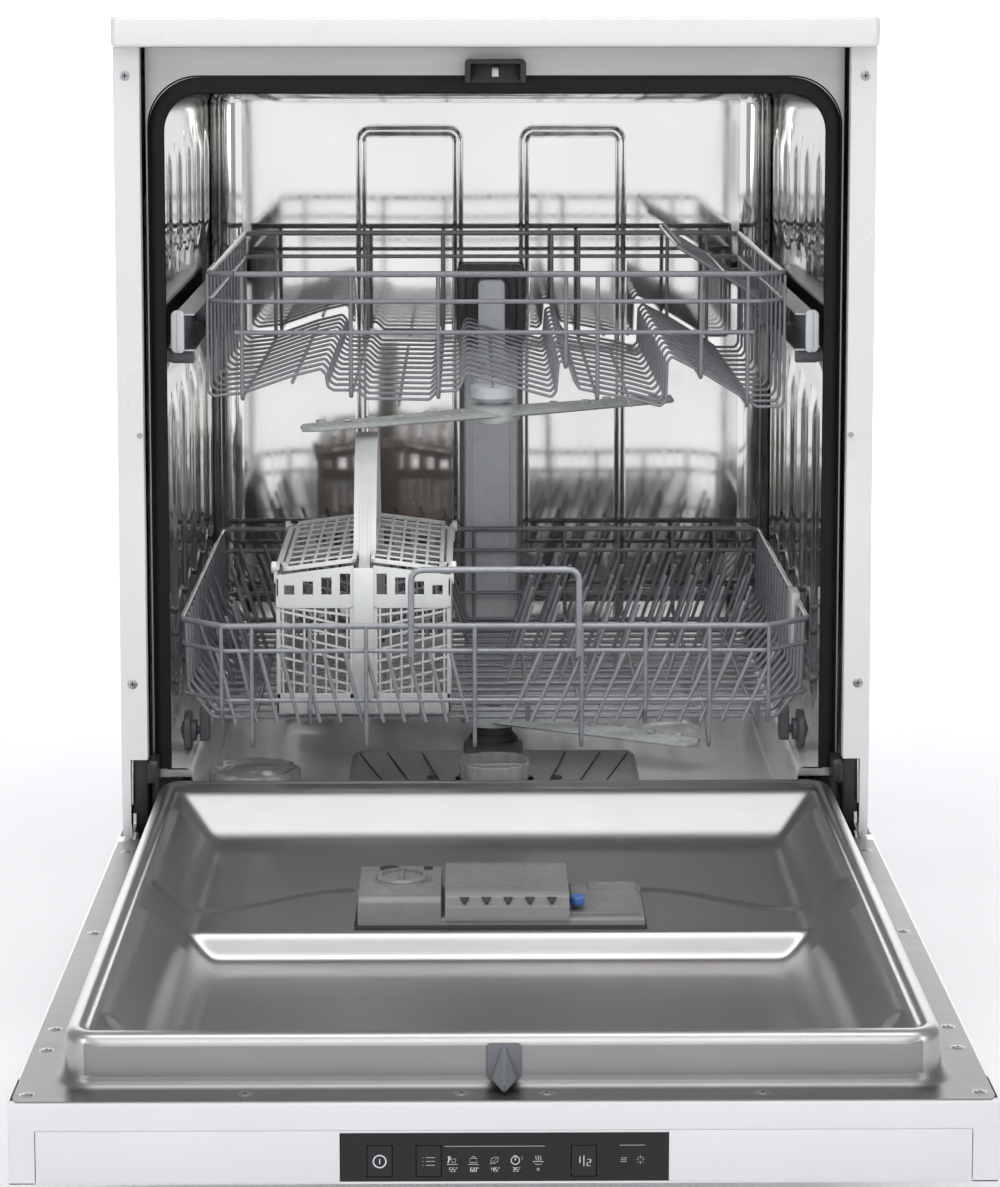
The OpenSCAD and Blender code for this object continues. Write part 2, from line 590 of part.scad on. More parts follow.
base_tray();
left_side_panel();
right_side_panel();
worktop();
back_panel();
kick_plate();
tub();
tub_front_frame();
door_seal();
door_lock();
feet();
panel_screws();
hinge_brackets();
sump();
circulation_pump();
drain_pump();
water_softener();
inlet_valve();
drain_spigot();
cord_gland();
rear_water_duct();
filter_plate();
air_break_chamber();
counterbalance_springs();
outer_door_panel();
door_liner();
control_fascia();
control_window();
latch_hook();
dispenser_body();
door_screws();
hinge_arms();
door_insulation();
control_board();
power_button();
program_button();
half_load_button();
dispenser_lid();
lid_release_tab();
rinse_aid_cap();
lower_rack_frame();
cutlery_basket();
left_basket_lid();
right_basket_lid();
left_fold_tines();
right_fold_tines();
front_wheels();
rear_wheels();
upper_rack_frame();
left_rail();
right_rail();
rail_end_caps();
front_rail_rollers();
rear_rail_rollers();
upper_spray_arm();
upper_arm_feed();
cup_shelf();
lower_spray_arm();
filter_cup();
salt_cap();
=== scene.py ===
import json
import math
import bmesh
import bpy
from mathutils import Matrix, Vector, noise


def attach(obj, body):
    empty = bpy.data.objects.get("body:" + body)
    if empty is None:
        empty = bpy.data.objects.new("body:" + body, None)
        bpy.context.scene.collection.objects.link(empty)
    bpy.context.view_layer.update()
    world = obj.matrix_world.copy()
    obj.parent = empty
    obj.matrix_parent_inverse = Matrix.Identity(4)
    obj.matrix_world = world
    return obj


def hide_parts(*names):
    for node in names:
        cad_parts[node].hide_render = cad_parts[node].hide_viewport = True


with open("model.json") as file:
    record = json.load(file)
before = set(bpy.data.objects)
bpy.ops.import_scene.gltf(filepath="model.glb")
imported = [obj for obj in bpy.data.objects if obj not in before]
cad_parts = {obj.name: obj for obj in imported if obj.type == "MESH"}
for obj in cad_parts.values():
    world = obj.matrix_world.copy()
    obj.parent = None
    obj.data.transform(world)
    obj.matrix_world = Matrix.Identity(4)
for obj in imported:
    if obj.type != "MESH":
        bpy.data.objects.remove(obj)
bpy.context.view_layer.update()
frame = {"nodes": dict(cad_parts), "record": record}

NODES = frame["nodes"]
YS = 47.5
PI = math.pi


def P(x, y, z):
    return Vector((x / 1000, (y + YS) / 1000, z / 1000))


# ---------------------------------------------------------------- camera
cam_data = bpy.data.cameras.new("camera")
cam = bpy.data.objects.new("camera", cam_data)
bpy.context.scene.collection.objects.link(cam)
cam.location = P(-20.52, -2495.63, 865.68)
cam.rotation_euler = (PI / 2 - 0.11278, 0, -0.00963)
cam_data.sensor_width = 36
cam_data.lens = 96.50
cam_data.shift_y = -0.2
cam_data.clip_end = 60
cam_data.dof.use_dof = False
bpy.context.scene.camera = cam


# ---------------------------------------------------------------- materials
class Mat:
    def __init__(self, name):
        self.m = bpy.data.materials.new(name)
        self.m.use_nodes = True
        self.t = self.m.node_tree
        self.b = self.t.nodes["Principled BSDF"]
        self.tc = self.t.nodes.new("ShaderNodeTexCoord")

    def n(self, kind, **k):
        n = self.t.nodes.new(kind)
        for a, v in k.items():
            setattr(n, a, v)
        return n

    def link(self, a, b):
        self.t.links.new(a, b)

    def map(self, scale=(1, 1, 1)):
        mp = self.n("ShaderNodeMapping")
        mp.inputs["Scale"].default_value = scale
        self.link(self.tc.outputs["Object"], mp.inputs["Vector"])
        return mp.outputs["Vector"]

    def noise(self, scale, detail=4.0, rough=0.55, vec=None, distortion=0.0):
        n = self.n("ShaderNodeTexNoise")
        n.inputs["Scale"].default_value = scale
        n.inputs["Detail"].default_value = detail
        n.inputs["Roughness"].default_value = rough
        n.inputs["Distortion"].default_value = distortion
        self.link(vec if vec else self.map(), n.inputs["Vector"])
        return n.outputs["Fac"]

    def ramp(self, fac, lo, hi, p0=0.3, p1=0.7):
        r = self.n("ShaderNodeMapRange")
        r.inputs["From Min"].default_value = p0
        r.inputs["From Max"].default_value = p1
        r.inputs["To Min"].default_value = lo
        r.inputs["To Max"].default_value = hi
        self.link(fac, r.inputs["Value"])
        return r.outputs["Result"]

    def color(self, fac, c0, c1, p0=0.3, p1=0.7):
        r = self.n("ShaderNodeValToRGB")
        r.color_ramp.elements[0].position = p0
        r.color_ramp.elements[1].position = p1
        r.color_ramp.elements[0].color = (*c0, 1)
        r.color_ramp.elements[1].color = (*c1, 1)
        self.link(fac, r.inputs["Fac"])
        self.link(r.outputs["Color"], self.b.inputs["Base Color"])
        return r.outputs["Color"]

    def rough(self, fac, lo, hi):
        self.link(self.ramp(fac, lo, hi), self.b.inputs["Roughness"])

    def bump(self, fac, strength, dist, prev=None, bevel=0.0):
        n = self.n("ShaderNodeBump")
        n.inputs["Strength"].default_value = strength
        n.inputs["Distance"].default_value = dist
        self.link(fac, n.inputs["Height"])
        if prev:
            self.link(prev, n.inputs["Normal"])
        elif bevel:
            bv = self.n("ShaderNodeBevel", samples=4)
            bv.inputs["Radius"].default_value = bevel
            self.link(bv.outputs["Normal"], n.inputs["Normal"])
        self.link(n.outputs["Normal"], self.b.inputs["Normal"])
        return n.outputs["Normal"]


def mat_plain(name, c, rough, metallic=0.0, vary=0.04, nscale=60, bump=0.15, bdist=0.0002, bscale=900, bevel=0.0, coat=0.0, rvary=0.06, spec=0.5):
    m = Mat(name)
    f = m.noise(nscale)
    m.color(f, tuple(max(0, x * (1 - vary)) for x in c), tuple(min(1, x * (1 + vary)) for x in c))
    g = m.noise(nscale * 2.3, 6)
    m.rough(g, max(0.02, rough - rvary), rough + rvary)
    m.b.inputs["Metallic"].default_value = metallic
    m.b.inputs["Specular IOR Level"].default_value = spec
    if coat:
        m.b.inputs["Coat Weight"].default_value = coat
        m.b.inputs["Coat Roughness"].default_value = 0.12
    h = m.noise(bscale, 3)
    m.bump(h, bump, bdist, bevel=bevel)
    return m.m


WHITE = mat_plain("white_enamel", (0.70, 0.702, 0.705), 0.30, vary=0.006, nscale=5, bump=0.03, bdist=0.0003, bscale=420, bevel=0.0009, coat=0.35)
LAMINATE = mat_plain("white_laminate", (0.72, 0.722, 0.725), 0.26, vary=0.006, nscale=5, bump=0.03, bdist=0.0002, bscale=700, bevel=0.0015, coat=0.4)
WPLASTIC = mat_plain("white_plastic", (0.69, 0.69, 0.70), 0.34, vary=0.012, nscale=14, bump=0.05, bdist=0.0002, bscale=1300, bevel=0.0008)
BASE = mat_plain("base_plastic", (0.05, 0.05, 0.055), 0.55, vary=0.15, bump=0.3, bscale=1200, bevel=0.0008)
# black plastic, also used for black marks that are painted shade in screw slots, lid openings and filter ribs
BLACK_PLASTIC_AND_SHADE = mat_plain("black_plastic", (0.018, 0.018, 0.02), 0.42, vary=0.2, bump=0.2, bscale=1400, bevel=0.0006)
RUBBER = mat_plain("seal_rubber", (0.0035, 0.0035, 0.004), 0.46, vary=0.25, nscale=120, bump=0.35, bscale=1800, bevel=0.0008, rvary=0.1, spec=0.28)
GLOSS = mat_plain("window_gloss", (0.012, 0.013, 0.016), 0.12, vary=0.1, bump=0.02, bscale=400, bevel=0.0004, coat=1.0, rvary=0.03)
KEY = mat_plain("key_plastic", (0.035, 0.036, 0.04), 0.35, vary=0.1, bump=0.1, bscale=2000, bevel=0.0008)
GREY = mat_plain("grey_plastic", (0.135, 0.142, 0.155), 0.42, vary=0.08, nscale=35, bump=0.12, bscale=1500, bevel=0.0007)
DGREY = mat_plain("dark_grey_plastic", (0.07, 0.073, 0.08), 0.4, vary=0.08, nscale=35, bump=0.12, bscale=1500, bevel=0.0007)
DISP = mat_plain("dispenser_plastic", (0.19, 0.188, 0.19), 0.3, vary=0.06, nscale=30, bump=0.08, bscale=1500, bevel=0.0007, coat=0.2)
LGREY = mat_plain("basket_plastic", (0.47, 0.467, 0.46), 0.36, vary=0.05, nscale=30, bump=0.1, bscale=1500, bevel=0.0005)
LGREY.node_tree.nodes["Principled BSDF"].inputs["Subsurface Weight"].default_value = 0.08
BLUE = mat_plain("blue_plastic", (0.06, 0.16, 0.42), 0.35, vary=0.08, bump=0.1, bscale=1500, bevel=0.0005)
NYLON = mat_plain("rack_nylon", (0.185, 0.192, 0.21), 0.12, coat=0.6, vary=0.12, nscale=160, bump=0.25, bdist=0.00025, bscale=700, rvary=0.1)
CREAM = mat_plain("moulded_cream", (0.62, 0.62, 0.58), 0.45, vary=0.05, bump=0.12, bscale=1200, bevel=0.0008)
PCB = mat_plain("board_green", (0.02, 0.12, 0.05), 0.4, vary=0.2, nscale=300, bump=0.3, bscale=900)
BITUMEN = mat_plain("bitumen_mat", (0.02, 0.02, 0.02), 0.8, vary=0.3, bump=0.6, bscale=500)
INK = mat_plain("panel_ink", (0.62, 0.65, 0.68), 0.4, vary=0.05, nscale=900, bump=0.02, bscale=2000)
INKR = mat_plain("panel_ink_red", (0.55, 0.08, 0.06), 0.4, vary=0.05, nscale=900, bump=0.02, bscale=2000)
INKG = mat_plain("panel_ink_grey", (0.30, 0.31, 0.33), 0.4, vary=0.05, nscale=900, bump=0.02, bscale=2000)


def mat_steel(name, c, r0, r1, streak=(1, 1, 1), wav=0.25, wdist=0.002, wscale=9, aniso=0.0, fine=0.04, bevel=0.0):
    m = Mat(name)
    v = m.map(streak)
    f = m.noise(220, 8, 0.6, v)
    big = m.noise(5, 3, 0.5, None, 0.4)
    m.color(big, tuple(x * 0.93 for x in c), tuple(min(1, x * 1.04) for x in c))
    m.rough(f, r0, r1)
    m.b.inputs["Metallic"].default_value = 1.0
    m.b.inputs["Anisotropic"].default_value = aniso
    w = m.noise(wscale, 2, 0.4)
    n1 = m.bump(w, wav, wdist, bevel=bevel)
    m.bump(f, fine, 0.0001, prev=n1)
    return m.m


MIRROR = mat_steel("tub_stainless", (0.80, 0.793, 0.775), 0.05, 0.085, (1, 1, 0.15), 0.2, 0.0016, 5, 0.0, 0.004)
# darker copy of the liner steel for the camera-facing apron: painted shade
SHADED_APRON_ST = mat_steel("apron_steel_painted_shade", (0.33, 0.324, 0.318), 0.33, 0.39, (0.12, 1, 1), 0.06, 0.0010, 5, 0.0, 0.006)
SATIN = mat_steel("liner_stainless", (0.50, 0.49, 0.48), 0.31, 0.36, (0.12, 1, 1), 0.06, 0.0010, 5, 0.0, 0.006)
ZINC = mat_steel("zinc_steel", (0.55, 0.56, 0.58), 0.25, 0.4, (1, 1, 1), 0.15, 0.0006, 30, 0, 0.1, 0.0004)
SCREW = mat_steel("screw_steel", (0.42, 0.42, 0.43), 0.25, 0.38, (1, 1, 1), 0.1, 0.0003, 60, 0, 0.08)


def mat_mesh():
    m = Mat("filter_mesh")
    big = m.noise(14)
    m.color(big, (0.62, 0.62, 0.61), (0.72, 0.72, 0.71))
    m.b.inputs["Metallic"].default_value = 1.0
    w1 = m.n("ShaderNodeTexWave", wave_type="BANDS", bands_direction="X")
    w2 = m.n("ShaderNodeTexWave", wave_type="BANDS", bands_direction="Y")
    for w in (w1, w2):
        w.inputs["Scale"].default_value = 260
        m.link(m.map(), w.inputs["Vector"])
    mx = m.n("ShaderNodeMath", operation="MULTIPLY")
    m.link(w1.outputs["Fac"], mx.inputs[0])
    m.link(w2.outputs["Fac"], mx.inputs[1])
    m.link(m.ramp(mx.outputs[0], 0.5, 0.28, 0, 1), m.b.inputs["Roughness"])
    m.bump(mx.outputs[0], 0.7, 0.0006)
    return m.m


FMESH = mat_mesh()
# darker copy of the liner steel for the liner flange: painted shade
SHADED_FLANGE_ST = mat_steel("flange_steel_painted_shade", (0.27, 0.262, 0.258), 0.36, 0.42, (0.1, 1, 1), 0.04, 0.0008, 4, 0.0, 0.006)
FRAMEST = mat_steel("frame_stainless", (0.50, 0.495, 0.485), 0.34, 0.42, (0.1, 1, 1), 0.05, 0.0008, 4, 0.0, 0.006)
# lighter, part-diffuse copy of the tub steel for the floor: painted light from above
LIT_FLOOR_ST = mat_steel("tub_floor_steel_painted_light", (0.88, 0.88, 0.875), 0.18, 0.26, (1, 1, 1), 0.25, 0.0025, 7, 0.0, 0.01)
LIT_FLOOR_ST.node_tree.nodes["Principled BSDF"].inputs["Metallic"].default_value = 0.62
RAILST = mat_steel("rail_steel", (0.52, 0.52, 0.52), 0.3, 0.4, (1, 0.1, 1), 0.08, 0.0006, 20, 0.0, 0.02)

CAD_MATS = {
    "base_tray": BASE, "left_side_panel": WHITE, "right_side_panel": WHITE, "worktop": LAMINATE, "back_panel": ZINC, "kick_plate": WHITE,
    "tub": MIRROR, "tub_front_frame": FRAMEST, "door_seal": RUBBER, "door_lock": BLACK_PLASTIC_AND_SHADE, "feet": BLACK_PLASTIC_AND_SHADE, "panel_screws": SCREW,
    "hinge_brackets": ZINC, "sump": BASE, "circulation_pump": BLACK_PLASTIC_AND_SHADE, "drain_pump": BLACK_PLASTIC_AND_SHADE, "water_softener": CREAM, "inlet_valve": CREAM,
    "drain_spigot": GREY, "cord_gland": BLACK_PLASTIC_AND_SHADE, "rear_water_duct": GREY, "filter_plate": SATIN, "air_break_chamber": CREAM,
    "counterbalance_springs": ZINC, "outer_door_panel": WHITE, "door_liner": SATIN, "control_fascia": WPLASTIC, "control_window": GLOSS,
    "latch_hook": GREY, "dispenser_body": DISP, "door_screws": SCREW, "hinge_arms": ZINC, "door_insulation": BITUMEN, "control_board": PCB,
    "power_button": KEY, "program_button": KEY, "half_load_button": KEY, "dispenser_lid": DISP, "lid_release_tab": BLUE,
    "rinse_aid_cap": DISP, "lower_rack_frame": NYLON, "cutlery_basket": LGREY, "left_basket_lid": LGREY, "right_basket_lid": LGREY,
    "left_fold_tines": NYLON, "right_fold_tines": NYLON, "front_wheels": DGREY, "rear_wheels": DGREY, "upper_rack_frame": NYLON,
    "left_rail": SATIN, "right_rail": SATIN, "rail_end_caps": GREY, "front_rail_rollers": GREY, "rear_rail_rollers": GREY,
    "upper_spray_arm": GREY, "upper_arm_feed": GREY, "cup_shelf": NYLON, "lower_spray_arm": GREY, "filter_cup": DGREY, "salt_cap": GREY,
}
SLOTS = {s["node"]: s["material_slot"] for s in frame["record"]["subparts"]}
for name, mat in CAD_MATS.items():
    ob = NODES[name]
    if not ob.data.materials:
        ob.data.materials.append(mat)
    for i in range(len(ob.data.materials)):
        ob.data.materials[i] = mat


# ---------------------------------------------------------------- mesh kit
class M:
    """Collects solids in millimetres, in the front-flange datum, and makes one object of them."""

    def __init__(self):
        self.bm = bmesh.new()

    def _join(self, tmp, mtx=None):
        me = bpy.data.meshes.new("tmp")
        tmp.to_mesh(me)
        tmp.free()
        if mtx:
            me.transform(mtx)
        self.bm.from_mesh(me)
        bpy.data.meshes.remove(me)

    def prism(self, poly, axis, a, b, bev=0.0, seg=2, mtx=None, holes=()):
        # poly is in the two other coordinates, in X, Y, Z order
        t = bmesh.new()

        def at(u, v, w):
            return {"x": (w, u, v), "y": (u, w, v), "z": (u, v, w)}[axis]

        lo = [t.verts.new(at(u, v, a)) for u, v in poly]
        hi = [t.verts.new(at(u, v, b)) for u, v in poly]
        n = len(poly)
        t.faces.new(lo)
        t.faces.new(hi)
        for i in range(n):
            t.faces.new((lo[i], lo[(i + 1) % n], hi[(i + 1) % n], hi[i]))
        bmesh.ops.recalc_face_normals(t, faces=t.faces)
        if bev:
            es = [e for e in t.edges if e.calc_face_angle(0) > 0.5]
            bmesh.ops.bevel(t, geom=es, offset=bev, segments=seg, profile=0.5, affect="EDGES", clamp_overlap=True)
        self._join(t, mtx)
        return self

    def box(self, x0, x1, y0, y1, z0, z1, bev=0.0, seg=2, mtx=None):
        return self.prism([(x0, y0), (x1, y0), (x1, y1), (x0, y1)], "z", z0, z1, bev, seg, mtx)

    def lathe(self, prof, centre, axis="z", n=48, mtx=None):
        # closed profile of (radius, height) turned round the axis through centre
        t = bmesh.new()
        rings = []
        for r, h in prof:
            ring = []
            for i in range(n):
                a = 2 * PI * i / n
                u, v = r * math.cos(a), r * math.sin(a)
                p = {"x": (h, u, v), "y": (u, h, v), "z": (u, v, h)}[axis]
                ring.append(t.verts.new((centre[0] + p[0], centre[1] + p[1], centre[2] + p[2])))
            rings.append(ring)
        for k in range(len(rings) - 1):
            for i in range(n):
                j = (i + 1) % n
                t.faces.new((rings[k][i], rings[k][j], rings[k + 1][j], rings[k + 1][i]))
        for ring in (rings[0], rings[-1]):
            t.faces.new(ring)
        bmesh.ops.remove_doubles(t, verts=t.verts, dist=1e-4)
        bmesh.ops.recalc_face_normals(t, faces=t.faces)
        self._join(t, mtx)
        return self

    def tube(self, pts, r, n=8, closed=False, flat=1.0, mtx=None):
        t = bmesh.new()
        pts = [Vector(p) for p in pts]
        m = len(pts)
        rings = []
        prev = None
        for i, p in enumerate(pts):
            a = pts[(i - 1) % m] if (closed or i > 0) else p
            b = pts[(i + 1) % m] if (closed or i < m - 1) else p
            d = (b - a).normalized()
            if prev is None:
                ref = Vector((0, 0, 1)) if abs(d.z) < 0.9 else Vector((0, 1, 0))
                s = d.cross(ref).normalized()
            else:
                s = (prev - d * prev.dot(d)).normalized()
            prev = s
            q = d.cross(s)
            rings.append([t.verts.new(p + s * r * math.cos(2 * PI * k / n) + q * r * flat * math.sin(2 * PI * k / n)) for k in range(n)])
        for i in range(m if closed else m - 1):
            A, B = rings[i], rings[(i + 1) % m]
            for k in range(n):
                t.faces.new((A[k], A[(k + 1) % n], B[(k + 1) % n], B[k]))
        if not closed:
            t.faces.new(rings[0])
            t.faces.new(rings[-1])
        bmesh.ops.recalc_face_normals(t, faces=t.faces)
        self._join(t, mtx)
        return self

    def sheet(self, f, nu, nv):
        t = bmesh.new()
        g = [[t.verts.new(f(i / nu, j / nv)) for j in range(nv + 1)] for i in range(nu + 1)]
        for i in range(nu):
            for j in range(nv):
                t.faces.new((g[i][j], g[i + 1][j], g[i + 1][j + 1], g[i][j + 1]))
        self._join(t)
        return self

    def done(self, name, mat, body, slot, rep=(), angle=35, solid=0.0, offset=0.0, subd=0):
        me = bpy.data.meshes.new(name)
        self.bm.to_mesh(me)
        self.bm.free()
        me.transform(Matrix.Translation((0, YS / 1000, 0)) @ Matrix.Scale(0.001, 4))
        me.shade_smooth()
        me.set_sharp_from_angle(angle=math.radians(angle))
        ob = bpy.data.objects.new(name, me)
        bpy.context.scene.collection.objects.link(ob)
        me.materials.append(mat)
        if subd:
            md = ob.modifiers.new("subd", "SUBSURF")
            md.levels = md.render_levels = subd
        if solid:
            md = ob.modifiers.new("wall", "SOLIDIFY")
            md.thickness = solid / 1000
            md.offset = offset
        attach(ob, body)
        if rep:
            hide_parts(*rep)
        return ob


def fillet(pts, r, n=4):
    """Rounds the corners of a polyline."""
    pts = [Vector(p) for p in pts]
    out = [pts[0]]
    for i in range(1, len(pts) - 1):
        p, a, b = pts[i], pts[i - 1], pts[i + 1]
        u, v = a - p, b - p
        ang = u.angle(v, PI)
        if ang > PI - 0.05:
            out.append(p)
            continue
        d = min(r / math.tan(ang / 2), u.length * 0.48, v.length * 0.48)
        s, e = p + u.normalized() * d, p + v.normalized() * d
        for k in range(n + 1):
            t = k / n
            out.append(s * (1 - t) ** 2 + p * 2 * t * (1 - t) + e * t * t)
    out.append(pts[-1])
    return out


def wires(name, lines, r, body, rep=(), mat=None, fil=5, cyc=False, res=2):
    """Round coated wires: one curve object, one spline for each wire."""
    cu = bpy.data.curves.new(name, "CURVE")
    cu.dimensions = "3D"
    cu.bevel_depth = r / 1000
    cu.bevel_resolution = res
    cu.use_fill_caps = True
    for ln in lines:
        pts = fillet(ln, fil) if len(ln) > 2 and fil else [Vector(p) for p in ln]
        sp = cu.splines.new("POLY")
        sp.points.add(len(pts) - 1)
        for q, p in zip(sp.points, pts):
            w = P(*p)
            q.co = (w.x, w.y, w.z, 1)
        sp.use_cyclic_u = cyc
        sp.use_smooth = True
    ob = bpy.data.objects.new(name, cu)
    bpy.context.scene.collection.objects.link(ob)
    cu.materials.append(mat or NYLON)
    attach(ob, body)
    if rep:
        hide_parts(*rep)
    return ob


def sm(t):
    t = max(0.0, min(1.0, t))
    return t * t * (3 - 2 * t)


def bump_at(v, c, w, soft):
    """1 inside the band of half width w round c, falling to 0 over soft."""
    return sm((w + soft - abs(v - c)) / soft)


def rrect(x0, x1, y0, y1, r, n=8):
    out = []
    for cx, cy, a0 in ((x1 - r, y1 - r, 0), (x0 + r, y1 - r, 90), (x0 + r, y0 + r, 180), (x1 - r, y0 + r, 270)):
        for k in range(n + 1):
            a = math.radians(a0 + 90 * k / n)
            out.append((cx + r * math.cos(a), cy + r * math.sin(a)))
    return out


# ---------------------------------------------------------------- tub
def tub():
    HX, HZ = -14.8, 190.8

    # section outline from the left ledge, up, over and down to the right, then the floor
    def outline():
        pts = []
        r = 28
        for z in range(243, 763, 8):
            pts.append((-265.0, float(z), -1, 0))
        for k in range(9):
            a = math.radians(180 - 90 * k / 8)
            pts.append((-237 + r * math.cos(a), 763 + r * math.sin(a), math.cos(a), math.sin(a)))
        for k in range(1, 60):
            pts.append((-237 + 474 * k / 60, 791.0, 0, 1))
        for k in range(9):
            a = math.radians(90 - 90 * k / 8)
            pts.append((237 + r * math.cos(a), 763 + r * math.sin(a), math.cos(a), math.sin(a)))
        for z in range(755, 242, -8):
            pts.append((265.0, float(z), 1, 0))
        return pts

    O = outline()
    ys = [0, 0.4, 0.8] + [i * 1.0 for i in range(1, 2)]
    NY = 120

    def ypos(v, z):
        y0 = max(34.0, HX + math.sqrt(max(0.0, 61.2 ** 2 - (z - HZ) ** 2)))
        # straight run then the rounded rear corner
        if v <= 0.9:
            return y0 + (508 - y0) * v / 0.9, 0.0
        a = (v - 0.9) / 0.1 * PI / 2
        return 508 + 28 * math.sin(a), 28 * (1 - math.cos(a))

    def f(u, v):
        x, z, nx, nz = O[min(len(O) - 1, int(round(u * (len(O) - 1))))]
        y, inset = ypos(v, z)
        d = 0.0
        if nz == 0:
            # upright ribs pressed into the side walls, and a long bead under the rail
            for c in (118, 208, 298, 388, 478):
                d += 3.2 * bump_at(y, c, 17, 12) * sm((z - 262) / 26) * sm((545 - z) / 26)
                d += 2.6 * bump_at(y, c, 19, 12) * sm((z - 640) / 22) * sm((748 - z) / 22)
            d += 3.0 * bump_at(z, 578, 8, 9) * sm((y - 40) / 18) * sm((505 - y) / 20)
        elif nx == 0 and nz == 1:
            for c in (-176, -88, 0, 88, 176):
                d += 3.4 * bump_at(x, c, 24, 13) * sm((y - 70) / 26) * sm((468 - y) / 26)
        e = min(1.0, (508 - y) / 40) if y < 508 else 0
        off = inset + d * max(0.0, e)
        return (x - nx * off, y, z - nz * off)

    m = M()
    m.sheet(f, len(O) - 1, NY)

    # floor with side ledges, falling gently to the filter
    def g(u, v):
        x = -265 + 530 * u
        ax = abs(x)
        z = 243 - 38 * sm((248.5 - ax) / 9)
        y0 = max(34.0, HX + math.sqrt(max(0.0, 61.2 ** 2 - (z - HZ) ** 2)))
        y = y0 + (536 - y0) * v
        if ax < 240:
            z += 4 * sm((ax - 120) / 110) + 9 * sm((y - 250) / 220)
            z += 3.2 * bump_at(ax, 160, 16, 14) * sm((y - 300) / 30) * sm((500 - y) / 30)
            rr_ = math.hypot(x, y - 129)
            z -= 3 * sm((90 - rr_) / 30)
        z += 28 * (1 - math.cos(sm((y - 508) / 28) * PI / 2)) * 0.6
        return (x, y, min(z, 300))

    mf = M()
    mf.sheet(g, 150, 110)
    # the floor takes the lighter copy of the tub steel: painted light
    mf.done("tub_floor", LIT_FLOOR_ST, "cabinet", SLOTS["tub"], angle=80)

    # rear wall with two pressed arches
    def h(u, v):
        x = -262 + 524 * u
        z = 215 + 560 * v
        ax = abs(x)
        d = 0.0
        # distance to an arch centred on |x| = 78, half width 47, top at 739
        cx_, hwid, top, rad = 77.5, 46.0, 738.0, 9.0
        dx = abs(ax - cx_)
        if z > top - rad:
            if dx < hwid - rad:
                dist = abs(z - top)
            else:
                dist = abs(math.hypot(dx - (hwid - rad), z - (top - rad)) - rad)
        else:
            dist = abs(dx - hwid)
        d += 2.6 * sm((4.2 - dist) / 3.2) * sm((z - 262) / 12)
        return (x, 536.4 - d, z)

    m.sheet(h, 330, 250)
    m.done("tub_shell", MIRROR, "cabinet", SLOTS["tub"], ["tub"], angle=80)


tub()


